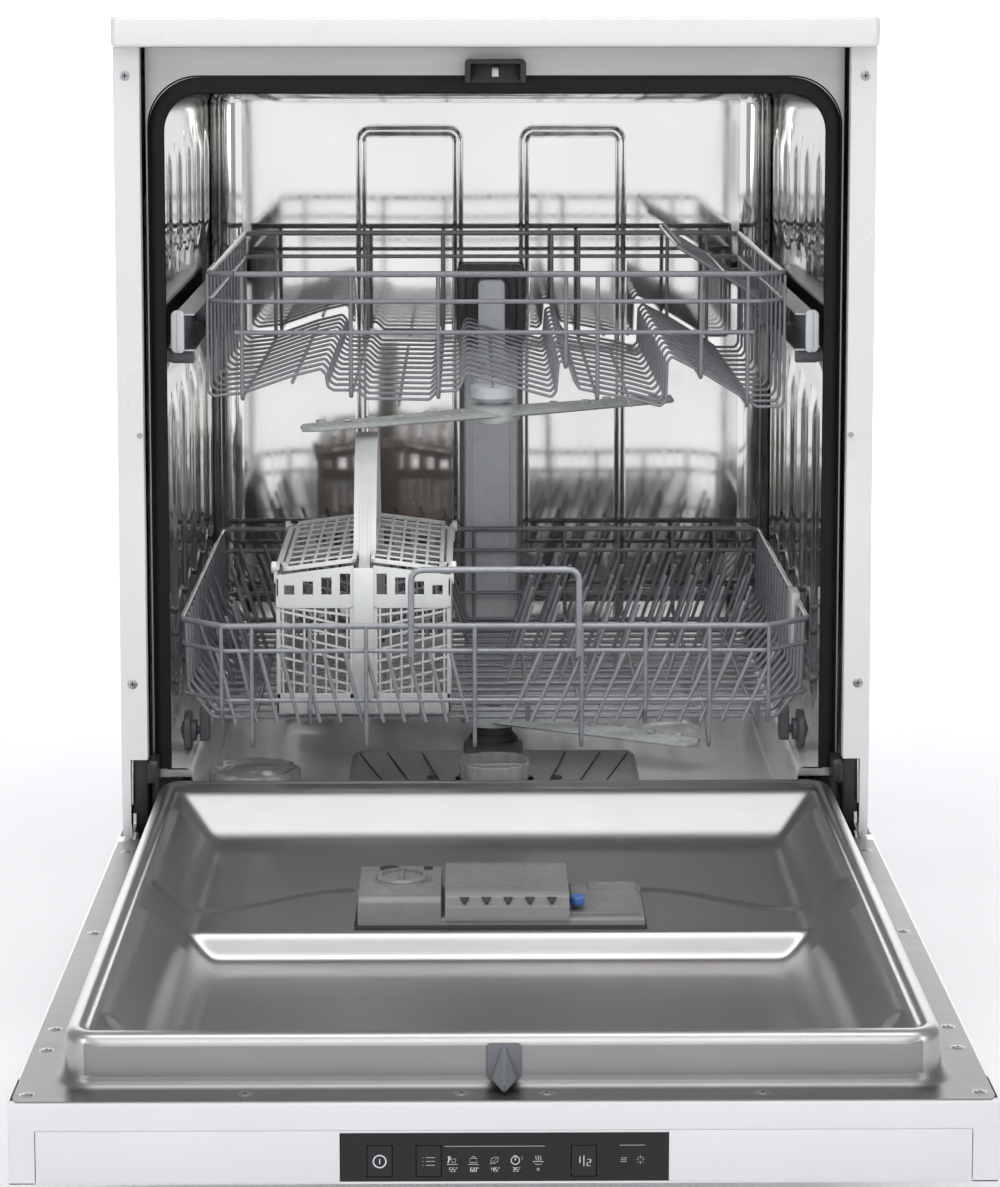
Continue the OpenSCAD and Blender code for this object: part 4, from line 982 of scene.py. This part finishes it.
def bottom():
    # mesh filter plate with pressed ribs; the ribs are drawn further down as black lines, painted shade along the
    # pressings
    m = M()

    def f(u, v):
        x = -123 + 246 * u
        y = 80 + 152 * v
        z = 211.2 - 1.2 * sm((60 - abs(math.hypot(x, y - 129) - 30)) / 40)
        e = min(123 - abs(x), y - 80, 232 - y)
        z -= 5.2 * sm((6 - e) / 6)
        return (x, y, z)

    m.sheet(f, 90, 60)
    kill = [v for v in m.bm.verts if math.hypot(v.co.x, v.co.y - 129) < 31]
    bmesh.ops.delete(m.bm, geom=kill, context="VERTS")
    m.done("filter_gauze", FMESH, "cabinet", SLOTS["filter_plate"], ["filter_plate"], solid=0.8, offset=-1)
    # black tubes and dimples standing for the pressed ribs: painted shade
    m = M()
    for s in (-1, 1):
        for k, (xa, xb) in enumerate(((45, 62), (70, 92), (92, 116))):
            m.tube([(s * xa, 108, 211.7), (s * (xa + xb) / 2, 160, 211.7), (s * xb, 214, 211.7)], 0.7, 6, flat=0.8)
        m.lathe([(0, 0), (5, 0), (4.4, 1.2), (2, 1.6), (0, 1.4)], (s * 52, 128, 211.2), "z", 24)
    m.done("filter_ribs_painted_shade", BLACK_PLASTIC_AND_SHADE, "cabinet", SLOTS["door_lock"])
    m = M()
    # hub socket behind the cup
    m.lathe([(9.2, 208), (22, 208), (22, 213), (17, 218), (17, 226), (12, 227), (9.2, 227)], (0, 270, 0), "z", 40)
    m.prism(rrect(-26, 26, 212, 262, 8), "z", 206.5, 213, 1.5)
    m.done("arm_seat", DGREY, "cabinet", SLOTS["rear_water_duct"])
    # scalloped cup
    m = M()
    n = 144
    t = bmesh.new()
    rings = []
    for z, dr, inner in ((208, 0, 0), (213, 0, 0), (225, 0.6, 0), (226, 0.2, 0), (226, -1.8, 1), (213, -2.4, 1), (209, -2.4, 1)):
        ring = []
        for i in range(n):
            a = 2 * PI * i / n
            rr_ = 29.2 + dr + 1.3 * abs(math.sin(6 * a)) - 0.7
            if z < 212 and not inner:
                rr_ = 28.2
            ring.append(t.verts.new((rr_ * math.cos(a), 129 + rr_ * math.sin(a), z)))
        rings.append(ring)
    for k in range(len(rings) - 1):
        for i in range(n):
            j = (i + 1) % n
            t.faces.new((rings[k][i], rings[k][j], rings[k + 1][j], rings[k + 1][i]))
    t.faces.new(rings[-1])
    t.faces.new(rings[0])
    bmesh.ops.recalc_face_normals(t, faces=t.faces)
    m._join(t)
    m.box(-27, 27, 127.6, 130.4, 208, 223, 0.8)
    m.box(-1.4, 1.4, 102, 156, 208, 218, 0.6)
    m.lathe([(0, 209), (8, 209), (8, 216), (6, 218), (0, 218)], (0, 129, 0), "z", 32)
    m.lathe([(0, 152), (27.8, 152), (28.2, 154), (28.2, 208), (0, 208)], (0, 129, 0), "z", 48)
    m.done("filter_cup_ring", SMOKE, "filter_cup", SLOTS["filter_cup"], ["filter_cup"], angle=50)
    # salt cap
    m = M()
    t = bmesh.new()
    n = 160
    rings = []
    for z, sc, k in ((208.6, 0.95, 1), (210, 1.0, 1), (220, 1.0, 1), (222, 0.965, 1), (222.6, 0.9, 0.7), (220.5, 0.82, 0.3), (219.6, 0.62, 0), (221.2, 0.5, 0), (221.8, 0.2, 0)):
        ring = []
        for i in range(n):
            a = 2 * PI * i / n
            lobe = 1 - 0.07 * k * (0.5 - 0.5 * math.cos(8 * a)) ** 3
            r = 38.3 * sc * lobe
            ring.append(t.verts.new((-201 + r * math.cos(a), 120 + r * math.sin(a), z)))
        rings.append(ring)
    for k in range(len(rings) - 1):
        for i in range(n):
            j = (i + 1) % n
            t.faces.new((rings[k][i], rings[k][j], rings[k + 1][j], rings[k + 1][i]))
    t.faces.new(rings[0])
    t.faces.new(rings[-1])
    bmesh.ops.recalc_face_normals(t, faces=t.faces)
    m._join(t)
    m.lathe([(0, 190), (29.6, 190), (29.6, 209), (0, 209)], (-201, 120, 0), "z", 48)
    m.done("salt_cap_lobed", SMOKE, "salt_cap", SLOTS["salt_cap"], ["salt_cap"], angle=50)
    # feed pipe under the upper rack
    m = M()
    m.prism(rrect(-13, 13, 514.9, 527.5, 4), "y", 250, 470, 1.4)
    m.lathe([(0, 497), (13, 497), (14, 498), (14, 499.6), (9, 500), (8.9, 514), (14, 516), (20, 520), (20, 529), (16, 531.5), (0, 531.5)], (0, 245, 0), "z", 40)
    m.prism(rrect(-12.5, 12.5, 515, 602, 5), "y", 454, 470, 1.4)
    m.lathe([(0, 468), (11.8, 468), (11.8, 498), (10.5, 501), (0, 501)], (0, 0, 587), "y", 40)
    m.done("upper_feed_pipe", LIGHTDUCT, "upper_rack", SLOTS["upper_arm_feed"], ["upper_arm_feed"])


bottom()


# ---------------------------------------------------------------- cutlery basket
def basket():
    x0, x1, y0, y1, z0, z1 = -179.0, -36.0, 68.0, 303.0, 280.0, 396.0
    xm = -107.5
    m = M()

    def top_at(x):
        return z1 - 1 + 9 * (1 - abs(x - xm) / 71.5)

    def face(y, s):
        # one end wall: rim band with windows, lattice, base band; s points into the basket
        ya, yb = (y, y + s * 2.4) if s > 0 else (y + s * 2.4, y)
        for side in (-1, 1):
            xs0 = xm + side * 8
            xs1 = xm + side * 71.5
            wins = []
            for k in range(4):
                c = xs0 + side * (7 + k * 15.2)
                wins.append((c - 4.2, c + 4.2, 379.0, 393.5 - 3.2 * k + 3))
            lo, hi = min(xs0, xs1), max(xs0, xs1)
            # rim band drawn as columns between windows and bars above and below
            edges = sorted([e for w in wins for e in w[:2]])
            cols = [lo] + edges + [hi]
            for k in range(0, len(cols), 2):
                a, b = cols[k], cols[k + 1]
                m.prism([(a, 368), (b, 368), (b, top_at(b)), (a, top_at(a))], "y", ya, yb, 0)
            for w in wins:
                m.prism([(w[0], 368), (w[1], 368), (w[1], w[2]), (w[0], w[2])], "y", ya, yb, 0)
                m.prism([(w[0], w[3]), (w[1], w[3]), (w[1], top_at(w[1])), (w[0], top_at(w[0]))], "y", ya, yb, 0)
            # lattice
            for k in range(7):
                c = lo + 5.5 + k * (hi - lo - 11) / 6
                m.box(c - 0.9, c + 0.9, ya + 0.3, yb - 0.3, 296, 369, 0.3, 1)
            for k in range(-1, 8):
                za = 300 + k * 9.6 + 4
                zb = za - 14 if side < 0 else za + 14
                # slanted bars, falling towards the middle on both halves
                pa, pb = (lo + 2, za + 14 if side < 0 else za), (hi - 2, za if side < 0 else za + 14)
                qa, qb = max(297, min(369, pa[1])), max(297, min(369, pb[1]))
                if qa == qb:
                    continue
                m.prism([(pa[0], qa - 0.9), (pb[0], qb - 0.9), (pb[0], qb + 0.9), (pa[0], qa + 0.9)], "y", ya + 0.4, yb - 0.4, 0)
            for xx in (lo, hi):
                sg = 1 if xx == lo else -1
                m.box(min(xx, xx + sg * 3.4), max(xx, xx + sg * 3.4), ya, yb, 292, 369, 0.4, 1)
        m.box(x0, x1, ya, yb, z0, 297, 0.6)
        m.box(xm - 8.5, xm + 8.5, ya - 0.8, yb + 0.8, z0 + 2, 401, 0.8)

    face(y0, 1)
    face(y1, -1)
    for x in (x0, x1):
        s = 1 if x == x0 else -1
        a, b = min(x, x + s * 2.4), max(x, x + s * 2.4)
        m.box(a, b, y0, y1, z0, 297, 0.6)
        m.box(a, b, y0, y1, 378, 393, 0.6)
        for k in range(18):
            c = y0 + 6 + k * (y1 - y0 - 12) / 17
            m.box(a + 0.3, b - 0.3, c - 0.9, c + 0.9, 296, 379, 0.3, 1)
        for k in range(8):
            z = 304 + k * 9.6
            m.box(a + 0.4, b - 0.4, y0 + 2, y1 - 2, z - 0.9, z + 0.9, 0.3, 1)
        for y in (y0 + 16, y1 - 16):
            m.lathe([(0, 0), (4.2, 0), (5, 0.8), (5, 4.2), (4, 5), (0, 5)], (x - s * 4.6 if s > 0 else x - 0.4, y, 399), "x", 28)
            m.prism(rrect(y - 4, y + 4, 385, 402, 3), "x", min(x - s * 2.4, x + s * 0.6), max(x - s * 2.4, x + s * 0.6), 0.5)
    # partition and bottom grid
    m.box(xm - 1.2, xm + 1.2, y0, y1, z0, 392, 0.4)
    for k in range(14):
        c = x0 + 5 + k * (x1 - x0 - 10) / 13
        m.box(c - 1, c + 1, y0 + 1, y1 - 1, z0, z0 + 2.6, 0.4, 1)
    for k in range(16):
        c = y0 + 6 + k * (y1 - y0 - 12) / 15
        m.box(x0 + 1, x1 - 1, c - 1, c + 1, z0, z0 + 2.6, 0.4, 1)
    m.done("basket_lattice", LGREY, "lower_rack", SLOTS["cutlery_basket"], ["cutlery_basket"])
    # arched strap handle
    m = M()
    pts = fillet([(xm, y0 + 8, 388), (xm, y0 + 34, 402), (xm, y0 + 74, 474), (xm, y0 + 98, 493), (xm, y0 + 137, 493), (xm, y0 + 161, 474), (xm, y0 + 201, 402), (xm, y0 + 227, 388)], 22, 6)
    outer = [(p.y, p.z + 2.2) for p in pts]
    inner = [(p.y, p.z - 2.2) for p in reversed(pts)]
    for a, b, g in ((xm - 4.6, xm - 2.2, 1.0), (xm + 2.2, xm + 4.6, 1.0)):
        m.prism(outer + inner, "x", a, b, 0)
    mid = [(p.y, p.z + 1.6) for p in pts] + [(p.y, p.z + 0.2) for p in reversed(pts)]
    m.prism(mid, "x", xm - 2.4, xm + 2.4, 0)
    up = fillet([(xm, y0 + 36, 404), (xm, y0 + 74, 474), (xm, y0 + 98, 493), (xm, y0 + 137, 493), (xm, y0 + 161, 474), (xm, y0 + 199, 404)], 22, 6)
    m.prism([(p.y, p.z + 2.6) for p in up] + [(p.y, p.z + 0.6) for p in reversed(up)], "x", xm - 9.4, xm + 9.4, 0)
    m.done("basket_handle", LGREY, "lower_rack", SLOTS["cutlery_basket"], angle=60)

    # slotted lids, each rising from its hinge towards the handle
    for nm, side in (("left_basket_lid", -1), ("right_basket_lid", 1)):
        m = M()
        hx_ = xm + side * 71.0
        w = 65.0
        rise = 8.5

        def L(a, y, h):
            return (hx_ - side * a, y, 399 + rise * a / w + h)

        def bar(a0, a1, ya, yb, h0, h1):
            t = bmesh.new()
            vs = [t.verts.new(L(a, y, h)) for a in (a0, a1) for y in (ya, yb) for h in (h0, h1)]
            for q in ((0, 1, 3, 2), (4, 6, 7, 5), (0, 4, 5, 1), (2, 3, 7, 6), (0, 2, 6, 4), (1, 5, 7, 3)):
                t.faces.new([vs[i] for i in q])
            bmesh.ops.recalc_face_normals(t, faces=t.faces)
            bmesh.ops.bevel(t, geom=t.edges[:], offset=0.35, segments=1, affect="EDGES")
            m._join(t)

        Y0, Y1 = y0 + 2, y1 - 2
        bar(0, 3.4, Y0 + 22, Y1 - 22, -1.8, 1.4)
        bar(5.5, 9, Y0, Y1, -1.8, 1.4)
        bar(w - 3.4, w, Y0, Y1, -1.8, 2.0)
        bar(5.5, w, Y0, Y0 + 3.6, -1.8, 1.6)
        bar(5.5, w, Y1 - 3.6, Y1, -1.8, 1.6)
        for k in range(1, 5):
            c = 9 + k * (w - 12.5) / 5
            bar(c - 1.2, c + 1.2, Y0 + 2, Y1 - 2, -0.9, 0.6)
        for k in range(1, 9):
            c = Y0 + k * (Y1 - Y0) / 9
            bar(7, w - 2, c - 2.4, c + 2.4, -0.4, 0.8)
        bar(0, 9, Y0 + 22, Y0 + 28, -1.8, 1.4)
        bar(0, 9, Y1 - 28, Y1 - 22, -1.8, 1.4)
        m.lathe([(0, 0), (1.9, 0), (1.9, Y1 - Y0 - 20), (0, Y1 - Y0 - 20)], (hx_, Y0 + 10, 399), "y", 20)
        m.done(nm + "_slotted", LGREY, nm, SLOTS[nm], [nm])


basket()


# ---------------------------------------------------------------- dispenser
def dispenser():
    m = M()
    prof = [(-281, 188), (-283, 203), (-280.5, 222), (-276, 226), (-199, 226), (-196.5, 223), (-196.5, 188)]
    m.prism(prof, "x", -101, -41, 1.3, 3)
    low = [(-281, 188), (-283.5, 202), (-282.6, 209.5), (-280, 211.4), (-198, 211.4), (-196.5, 210), (-196.5, 188)]
    m.prism(low, "x", -41.5, 104.5, 0.9, 2)
    # right-hand ramp that the lid runs out over
    m.prism([(-270, 211.0), (-250, 213.2), (-202, 213.2), (-199, 211.0)], "x", 53, 102, 0.5)
    m.prism([(-222, 213.0), (-214, 215.2), (-203, 215.2), (-201, 213.0)], "x", 66, 101, 0.6)
    for y in (-277.5, -200.2):
        m.box(-39, 100, y, y + 1.4, 211, 213.4, 0.3)
    # ring round the rinse-aid cap, sight glass and a small square
    m.lathe([(19.6, 0), (21.4, 0), (21.2, 0.9), (20.4, 1.2), (19.8, 0.8)], (-70, -232, 226), "z", 48)
    m.done("dispenser_casing", DISP, "door", SLOTS["dispenser_body"], ["dispenser_body"])
    m = M()
    m.lathe([(0, 0), (7.2, 0), (7.2, 0.5), (6.6, 0.8), (0, 1.0)], (-80, -205.5, 225.9), "z", 32)
    m.box(-54.5, -48, -208.5, -201.5, 225.8, 226.7, 0.3)
    m.box(-103.5, 106, -285.4, -194.6, 203.2, 205.8, 1.0)
    m.done("dispenser_sight_and_gasket", BLACK_PLASTIC_AND_SHADE, "door", SLOTS["door_lock"])
    m = M()
    m.lathe([(0, 226.3), (18.8, 226.3), (19, 227.4), (17.4, 229.2), (15.2, 229.4), (14.6, 227.0), (0, 226.8)], (-70, -232, 0), "z", 56)
    m.box(-71.2, -68.8, -247, -217, 226.6, 230.6, 0.6)
    m.lathe([(0, 204), (13.8, 204), (13.8, 226.4), (0, 226.4)], (-70, -232, 0), "z", 40)
    m.done("rinse_cap_turned", DISP, "rinse_aid_cap", SLOTS["rinse_aid_cap"], ["rinse_aid_cap"])
    # lid: rounded cover with a sloping front that carries five openings
    m = M()
    t = bmesh.new()

    def pt(u, v):
        # v runs from the front foot over the top to the rear edge
        path = [(-284.6, 209.5), (-284.2, 212.0), (-282.0, 219), (-277.6, 225.6), (-274, 228.2), (-268, 229), (-240, 229.3), (-200, 229), (-196.8, 227.6), (-195.2, 224), (-195.0, 213)]
        k = v * (len(path) - 1)
        i = min(int(k), len(path) - 2)
        f_ = k - i
        y = path[i][0] * (1 - f_) + path[i + 1][0] * f_
        z = path[i][1] * (1 - f_) + path[i + 1][1] * f_
        x = -38.5 + 89 * u
        # shallow wave line pressed across the top
        if -268 < y < -200:
            line = -246 + 16 * sm((x + 10) / 60) * -1
            z -= 0.6 * sm((line - y) / 3)
        # grip ribs at the right
        if 38 < x < 49 and -236 < y < -216:
            z += 0.5 * (0.5 + 0.5 * math.sin(x * 2.6))
        return (x, y, z)

    m.sheet(pt, 120, 60)
    m.done("lid_cover", DISP, "dispenser_lid", SLOTS["dispenser_lid"], ["dispenser_lid"], angle=40, solid=1.6, offset=-1)
    m = M()
    # a black strip along the lid's left edge: painted shade under the lid
    m.box(-38.3, -36.8, -276, -202.5, 212, 227, 0.4)
    for i in range(5):
        x = -24.5 + i * 15.6
        # triangular openings drawn as black wedges: painted shade for the dark inside
        m.prism([(x - 3.4, 224.8), (x + 3.4, 224.8), (x + 0.5, 219.6), (x - 0.5, 219.6)], "y", -281.9 , -279, 0.3,
                mtx=Matrix.Translation((0, -279, 222)) @ Matrix.Rotation(math.radians(-33), 4, "X") @ Matrix.Translation((0, 279, -222)))
    m.done("lid_openings_painted_shade", BLACK_PLASTIC_AND_SHADE, "dispenser_lid", SLOTS["door_lock"])
    m = M()
    m.prism(rrect(51.2, 62, -268, -255, 5, 6), "z", 215, 221.6, 1.6, 3)
    m.done("tab_moulded", BLUE, "lid_release_tab", SLOTS["lid_release_tab"], ["lid_release_tab"])


dispenser()


# ---------------------------------------------------------------- control strip
def controls():
    Y = -642.0
    m = M()
    m.prism([(Y + 0.3, 186.0), (Y + 0.3, 200.2), (Y + 1.0, 202.3), (Y + 2.6, 203.5), (Y + 5, 203.6), (-618, 203.6), (-618, 200.6), (Y + 4, 200.6), (Y + 4, 186.0)], "x", -299, 299, 0)
    for s in (-1, 1):
        a, b = sorted((s * 283.2, s * 299))
        m.box(a, b, Y + 0.3, Y + 4, 153, 186.0, 0)
        a, b = sorted((s * 99.4, s * 282.75))
        m.box(a, b, Y, Y + 4, 153.6, 185.75, 0.3)
        a, b = sorted((s * 295.5, s * 299))
        m.box(a, b, Y + 2, -599, 152.4, 203.6, 0.5)
    m.box(-99.4, 99.4, Y, Y + 4, 184.4, 185.75, 0.2)
    m.box(-283.2, 283.2, Y + 0.7, Y + 4, 184.9, 186.2, 0)
    m.box(-299, 299, Y + 0.3, -599, 152.4, 154.0, 0.4)
    for s in (-1, 1):
        a, b = sorted((s * 270.7, s * 299))
        m.box(a, b, -619, -598.4, 200.6, 203.6, 0.4)
    m.done("fascia_moulding", WPLASTIC, "door", SLOTS["control_fascia"], ["control_fascia"], angle=30)
    PANEL = mat_plain("panel_black", (0.013, 0.013, 0.014), 0.38, vary=0.06, nscale=40, bump=0.03, bscale=1500, bevel=0.0003, rvary=0.04, spec=0.3)
    KEYP = mat_plain("key_black", (0.017, 0.017, 0.018), 0.42, vary=0.06, nscale=40, bump=0.05, bscale=1500, bevel=0.0006, rvary=0.04, spec=0.3)
    m = M()
    keys = [-75.3, -45.7, 48]
    xs = [-99.0]
    for k in keys:
        xs += [k - 7.85, k + 7.85]
    xs += [99.0]
    for i in range(0, len(xs), 2):
        m.box(xs[i], xs[i + 1], Y + 0.4, Y + 3, 154, 184, 0)
    for k in keys:
        m.box(k - 7.85, k + 7.85, Y + 0.4, Y + 3, 154, 156.7, 0)
        m.box(k - 7.85, k + 7.85, Y + 0.4, Y + 3, 176.5, 184, 0)
    m.done("window_panel", PANEL, "door", SLOTS["control_window"], ["control_window"])
    for nm, x in zip(("power_button", "program_button", "half_load_button"), keys):
        m = M()
        m.prism(rrect(x - 7.4, x + 7.4, 157.15, 176.05, 0.9, 3), "y", Y + 0.2, Y + 4.6, 0.35)
        m.box(x - 2, x + 2, Y + 4.4, Y + 9, 163.5, 168.5, 0.3)
        m.done(nm + "_cap", KEYP, nm, SLOTS[nm], [nm])

    yp = Y + 0.38
    yk = Y + 0.18

    def st(m_, pts, r=0.34, y=yp, closed=False):
        m_.tube([(x, y, z) for x, z in pts], r, 6, closed, flat=0.45)

    def circ(cx_, cz_, r, a0=0, a1=360, n=28):
        return [(cx_ + r * math.cos(math.radians(a0 + (a1 - a0) * k / n)), cz_ + r * math.sin(math.radians(a0 + (a1 - a0) * k / n))) for k in range(n + (0 if a1 - a0 == 360 else 1))]

    SEG = {"0": "abcdef", "1": "bc", "2": "abged", "3": "abgcd", "4": "fgbc", "5": "afgcd", "6": "afgedc", "7": "abc", "8": "abcdefg", "9": "abcdfg"}
    E = {"a": ((0, 1), (1, 1)), "b": ((1, 1), (1, .5)), "c": ((1, .5), (1, 0)), "d": ((0, 0), (1, 0)), "e": ((0, 0), (0, .5)), "f": ((0, .5), (0, 1)), "g": ((0, .5), (1, .5))}

    def num(m_, s, cx_, cz_, h=2.5, w=1.3, y=yp, r=0.23):
        tot = len(s) * w + (len(s) - 1) * 0.75
        x = cx_ - tot / 2
        for ch in s:
            for k in SEG[ch]:
                (ax, az), (bx, bz) = E[k]
                st(m_, [(x + ax * w, cz_ - h / 2 + az * h), (x + bx * w, cz_ - h / 2 + bz * h)], r, y)
            x += w + 0.75

    m = M()
    # heading rules
    st(m, [(-36, 175.9), (24.3, 175.9)], 0.28)
    st(m, [(69.5, 176.3), (84.9, 176.3)], 0.28)
    zi, zn = 167.2, 161.3
    # cup and saucer
    c = -31.5
    st(m, [(c - 3.2, zi - 2.6), (c + 3.2, zi - 2.6)])
    st(m, [(c - 0.6, zi + 0.8), (c - 0.2, zi - 1.4), (c + 1.8, zi - 1.4), (c + 2.3, zi + 0.8)], closed=True)
    st(m, [(c - 2.6, zi - 1.8), (c - 2.0, zi + 0.2), (c - 2.4, zi + 2.4), (c - 1.2, zi + 2.4), (c - 1.5, zi + 0.2)])
    # pan
    c = -18.7
    st(m, [(c - 3.2, zi - 2.6), (c + 3.2, zi - 2.6)])
    st(m, [(c - 2.1, zi + 1.2), (c - 2.1, zi - 1.4), (c + 2.1, zi - 1.4), (c + 2.1, zi + 1.2)], closed=True)
    st(m, [(c - 1.2, zi + 1.3), (c - 0.7, zi + 2.3), (c + 0.7, zi + 2.3), (c + 1.2, zi + 1.3)])
    # leaf
    c = -6.0
    st(m, [(c - 2.4, zi - 1.8), (c - 2.0, zi + 0.8), (c + 0.2, zi + 1.9), (c + 2.4, zi + 1.6), (c + 2.0, zi - 0.8), (c, zi - 2.0)], closed=True)
    st(m, [(c - 3.0, zi - 2.6), (c + 1.4, zi + 0.9)], 0.18)
    # clock and drop
    c = 6.6
    st(m, circ(c, zi - 0.2, 2.5), 0.26, closed=True)
    st(m, [(c, zi - 0.2), (c, zi + 1.5)])
    st(m, [(c - 0.7, zi + 2.9), (c + 0.7, zi + 2.9)])
    st(m, [(c + 4.1, zi + 2.6), (c + 3.4, zi + 1.0), (c + 4.1, zi + 0.3), (c + 4.8, zi + 1.0)], 0.18, closed=True)
    # bowl with steam
    c = 20.4
    st(m, [(c - 3.2, zi - 0.9), (c - 1.6, zi - 2.7), (c + 1.6, zi - 2.7), (c + 3.2, zi - 0.9)], closed=True)
    for k in (-1.4, 0, 1.4):
        st(m, [(c + k, zi - 0.3), (c + k + 0.4, zi + 0.6), (c + k - 0.3, zi + 1.6), (c + k + 0.2, zi + 2.6)], 0.16)
    for s_, c in (("55", -31.5), ("60", -18.7), ("45", -6.0), ("35", 6.6)):
        num(m, s_, c, zn)
        st(m, circ(c + 2.6, zn + 1.0, 0.35, n=10), 0.1, closed=True)
    for k in range(3):
        a = math.radians(60 * k + 90)
        st(m, [(20.4 + 1.1 * math.cos(a), zn + 1.1 * math.sin(a)), (20.4 - 1.1 * math.cos(a), zn - 1.1 * math.sin(a))], 0.16)
    # indicators: salt loop and star
    c = 72.1
    st(m, [(c + 2, zi + 1.2), (c - 1.6, zi + 1.2), (c - 1.6, zi), (c + 1.6, zi), (c + 1.6, zi - 1.2), (c - 2, zi - 1.2)], 0.28)
    for k in range(8):
        a = math.radians(45 * k)
        st(m, [(82.2 + 1.1 * math.cos(a), zi + 1.1 * math.sin(a)), (82.2 + 2.6 * math.cos(a), zi + 2.6 * math.sin(a))], 0.18)
    m.done("panel_marks", INK, "door", SLOTS["control_fascia"])
    m = M()
    st(m, circ(-75.3, 166.6, 3.8), 0.42, yk, closed=True)
    st(m, [(-75.3, 168.2), (-75.3, 165.0)], 0.34, yk)
    m.done("power_mark", INK, "power_button", SLOTS["control_fascia"])
    m = M()
    for k in (-2.4, 0, 2.4):
        st(m, [(-47.4, 166.6 + k), (-41.9, 166.6 + k)], 0.3, yk)
        st(m, [(-49.4, 166.6 + k), (-48.9, 166.6 + k)], 0.3, yk)
    m.done("program_mark", INK, "program_button", SLOTS["control_fascia"])
    m = M()
    num(m, "1", 44.8, 167.4, 4.0, 1.6, yk, 0.3)
    st(m, [(48.0, 163.4), (48.0, 170.0)], 0.26, yk)
    num(m, "2", 51.0, 165.6, 4.0, 2.0, yk, 0.3)
    m.done("half_mark", INK, "half_load_button", SLOTS["control_fascia"])
    # latch plate on the pan's front wall with its wedge
    m = M()
    m.prism([(-10.7, 230.5), (-9.2, 232), (9.2, 232), (10.7, 230.5), (10.7, 212), (7.5, 208.5), (-7.5, 208.5), (-10.7, 212)], "y", -620.6, -616.2, 0.9)
    t = bmesh.new()
    for p_ in ((-1.4, -620, 231), (1.4, -620, 231), (-1.0, -621.6, 231), (1.0, -621.6, 231), (0, -625.8, 221.6), (-7.6, -625.0, 211.4), (7.6, -625.0, 211.4), (0, -633.8, 205.9),
               (-8.2, -620, 211.0), (8.2, -620, 211.0), (-2, -620, 206.2), (2, -620, 206.2)):
        t.verts.new(p_)
    ret = bmesh.ops.convex_hull(t, input=t.verts[:])
    bmesh.ops.delete(t, geom=[v for v in t.verts if not v.link_faces], context="VERTS")
    bmesh.ops.bevel(t, geom=t.edges[:], offset=0.35, segments=2, affect="EDGES")
    bmesh.ops.recalc_face_normals(t, faces=t.faces)
    m._join(t)
    m.done("latch_block", GREY, "door", SLOTS["latch_hook"], ["latch_hook"], angle=25)


controls()

# ---------------------------------------------------------------- stage and light
def stage():
    m = mat_plain("pale_floor", (0.95, 0.95, 0.952), 0.6, vary=0.01, nscale=3, bump=0.02, bscale=200)
    t = bmesh.new()
    prof = [(-9.0, 0.0)] + [(6.0, 0.0)] + [(6.0 + 2.0 * math.sin(a * PI / 24), 2.0 - 2.0 * math.cos(a * PI / 24)) for a in range(1, 13)] + [(8.0, 7.0)]
    g = [[t.verts.new((x, y, z - 0.0006)) for y, z in prof] for x in (-12, 12)]
    for i in range(len(prof) - 1):
        t.faces.new((g[0][i], g[1][i], g[1][i + 1], g[0][i + 1]))
    me = bpy.data.meshes.new("floor")
    t.to_mesh(me)
    t.free()
    me.shade_smooth()
    me.materials.append(m)
    ob = bpy.data.objects.new("floor", me)
    bpy.context.scene.collection.objects.link(ob)

    def area(name, loc, target, sx, sy, power, col=(1, 1, 1), hidden=False):
        d = bpy.data.lights.new(name, "AREA")
        d.shape = "RECTANGLE"
        d.size, d.size_y = sx, sy
        d.energy = power
        d.color = col
        o = bpy.data.objects.new(name, d)
        o.location = loc
        o.rotation_euler = (Vector(target) - Vector(loc)).to_track_quat("-Z", "Y").to_euler()
        if hidden:
            o.visible_glossy = False
            o.visible_camera = False
        bpy.context.scene.collection.objects.link(o)

    area("key_top", (0.0, -1.1, 3.2), (0, -0.15, 0.3), 3.0, 1.8, 44)
    area("left_soft", (-2.6, -2.4, 1.5), (0, 0, 0.45), 0.7, 2.2, 24)
    area("right_soft", (2.6, -2.4, 1.5), (0, 0, 0.45), 0.7, 2.2, 20)
    area("front_strip", (0.0, -3.6, 2.7), (0, 0.2, 0.5), 2.6, 0.6, 20)
    area("front_panel", (0.0, -3.7, 0.82), (0, 0.3, 0.62), 2.8, 1.6, 9.5)
    area("tub_fill", (0.0, 0.24, 0.782), (0, 0.26, 0.2), 0.42, 0.3, 0.45, hidden=True)
    area("tub_fill_low", (0.0, 0.03, 0.50), (0, 0.17, 0.20), 0.44, 0.06, 0.45, hidden=True)
    area("backdrop_wash", (0.0, 2.6, 3.2), (0, 8.0, 2.4), 6.0, 2.0, 420)
    area("floor_wash", (0.0, 3.4, 3.0), (0, 5.6, 0.0), 6.0, 1.5, 160)
    w = bpy.data.worlds.new("studio")
    bpy.context.scene.world = w
    w.use_nodes = True
    w.node_tree.nodes["Background"].inputs["Color"].default_value = (0.93, 0.95, 1.0, 1)
    w.node_tree.nodes["Background"].inputs["Strength"].default_value = 0.42


stage()
try:
    bpy.context.scene.view_settings.view_transform = "Standard"
except TypeError:
    pass
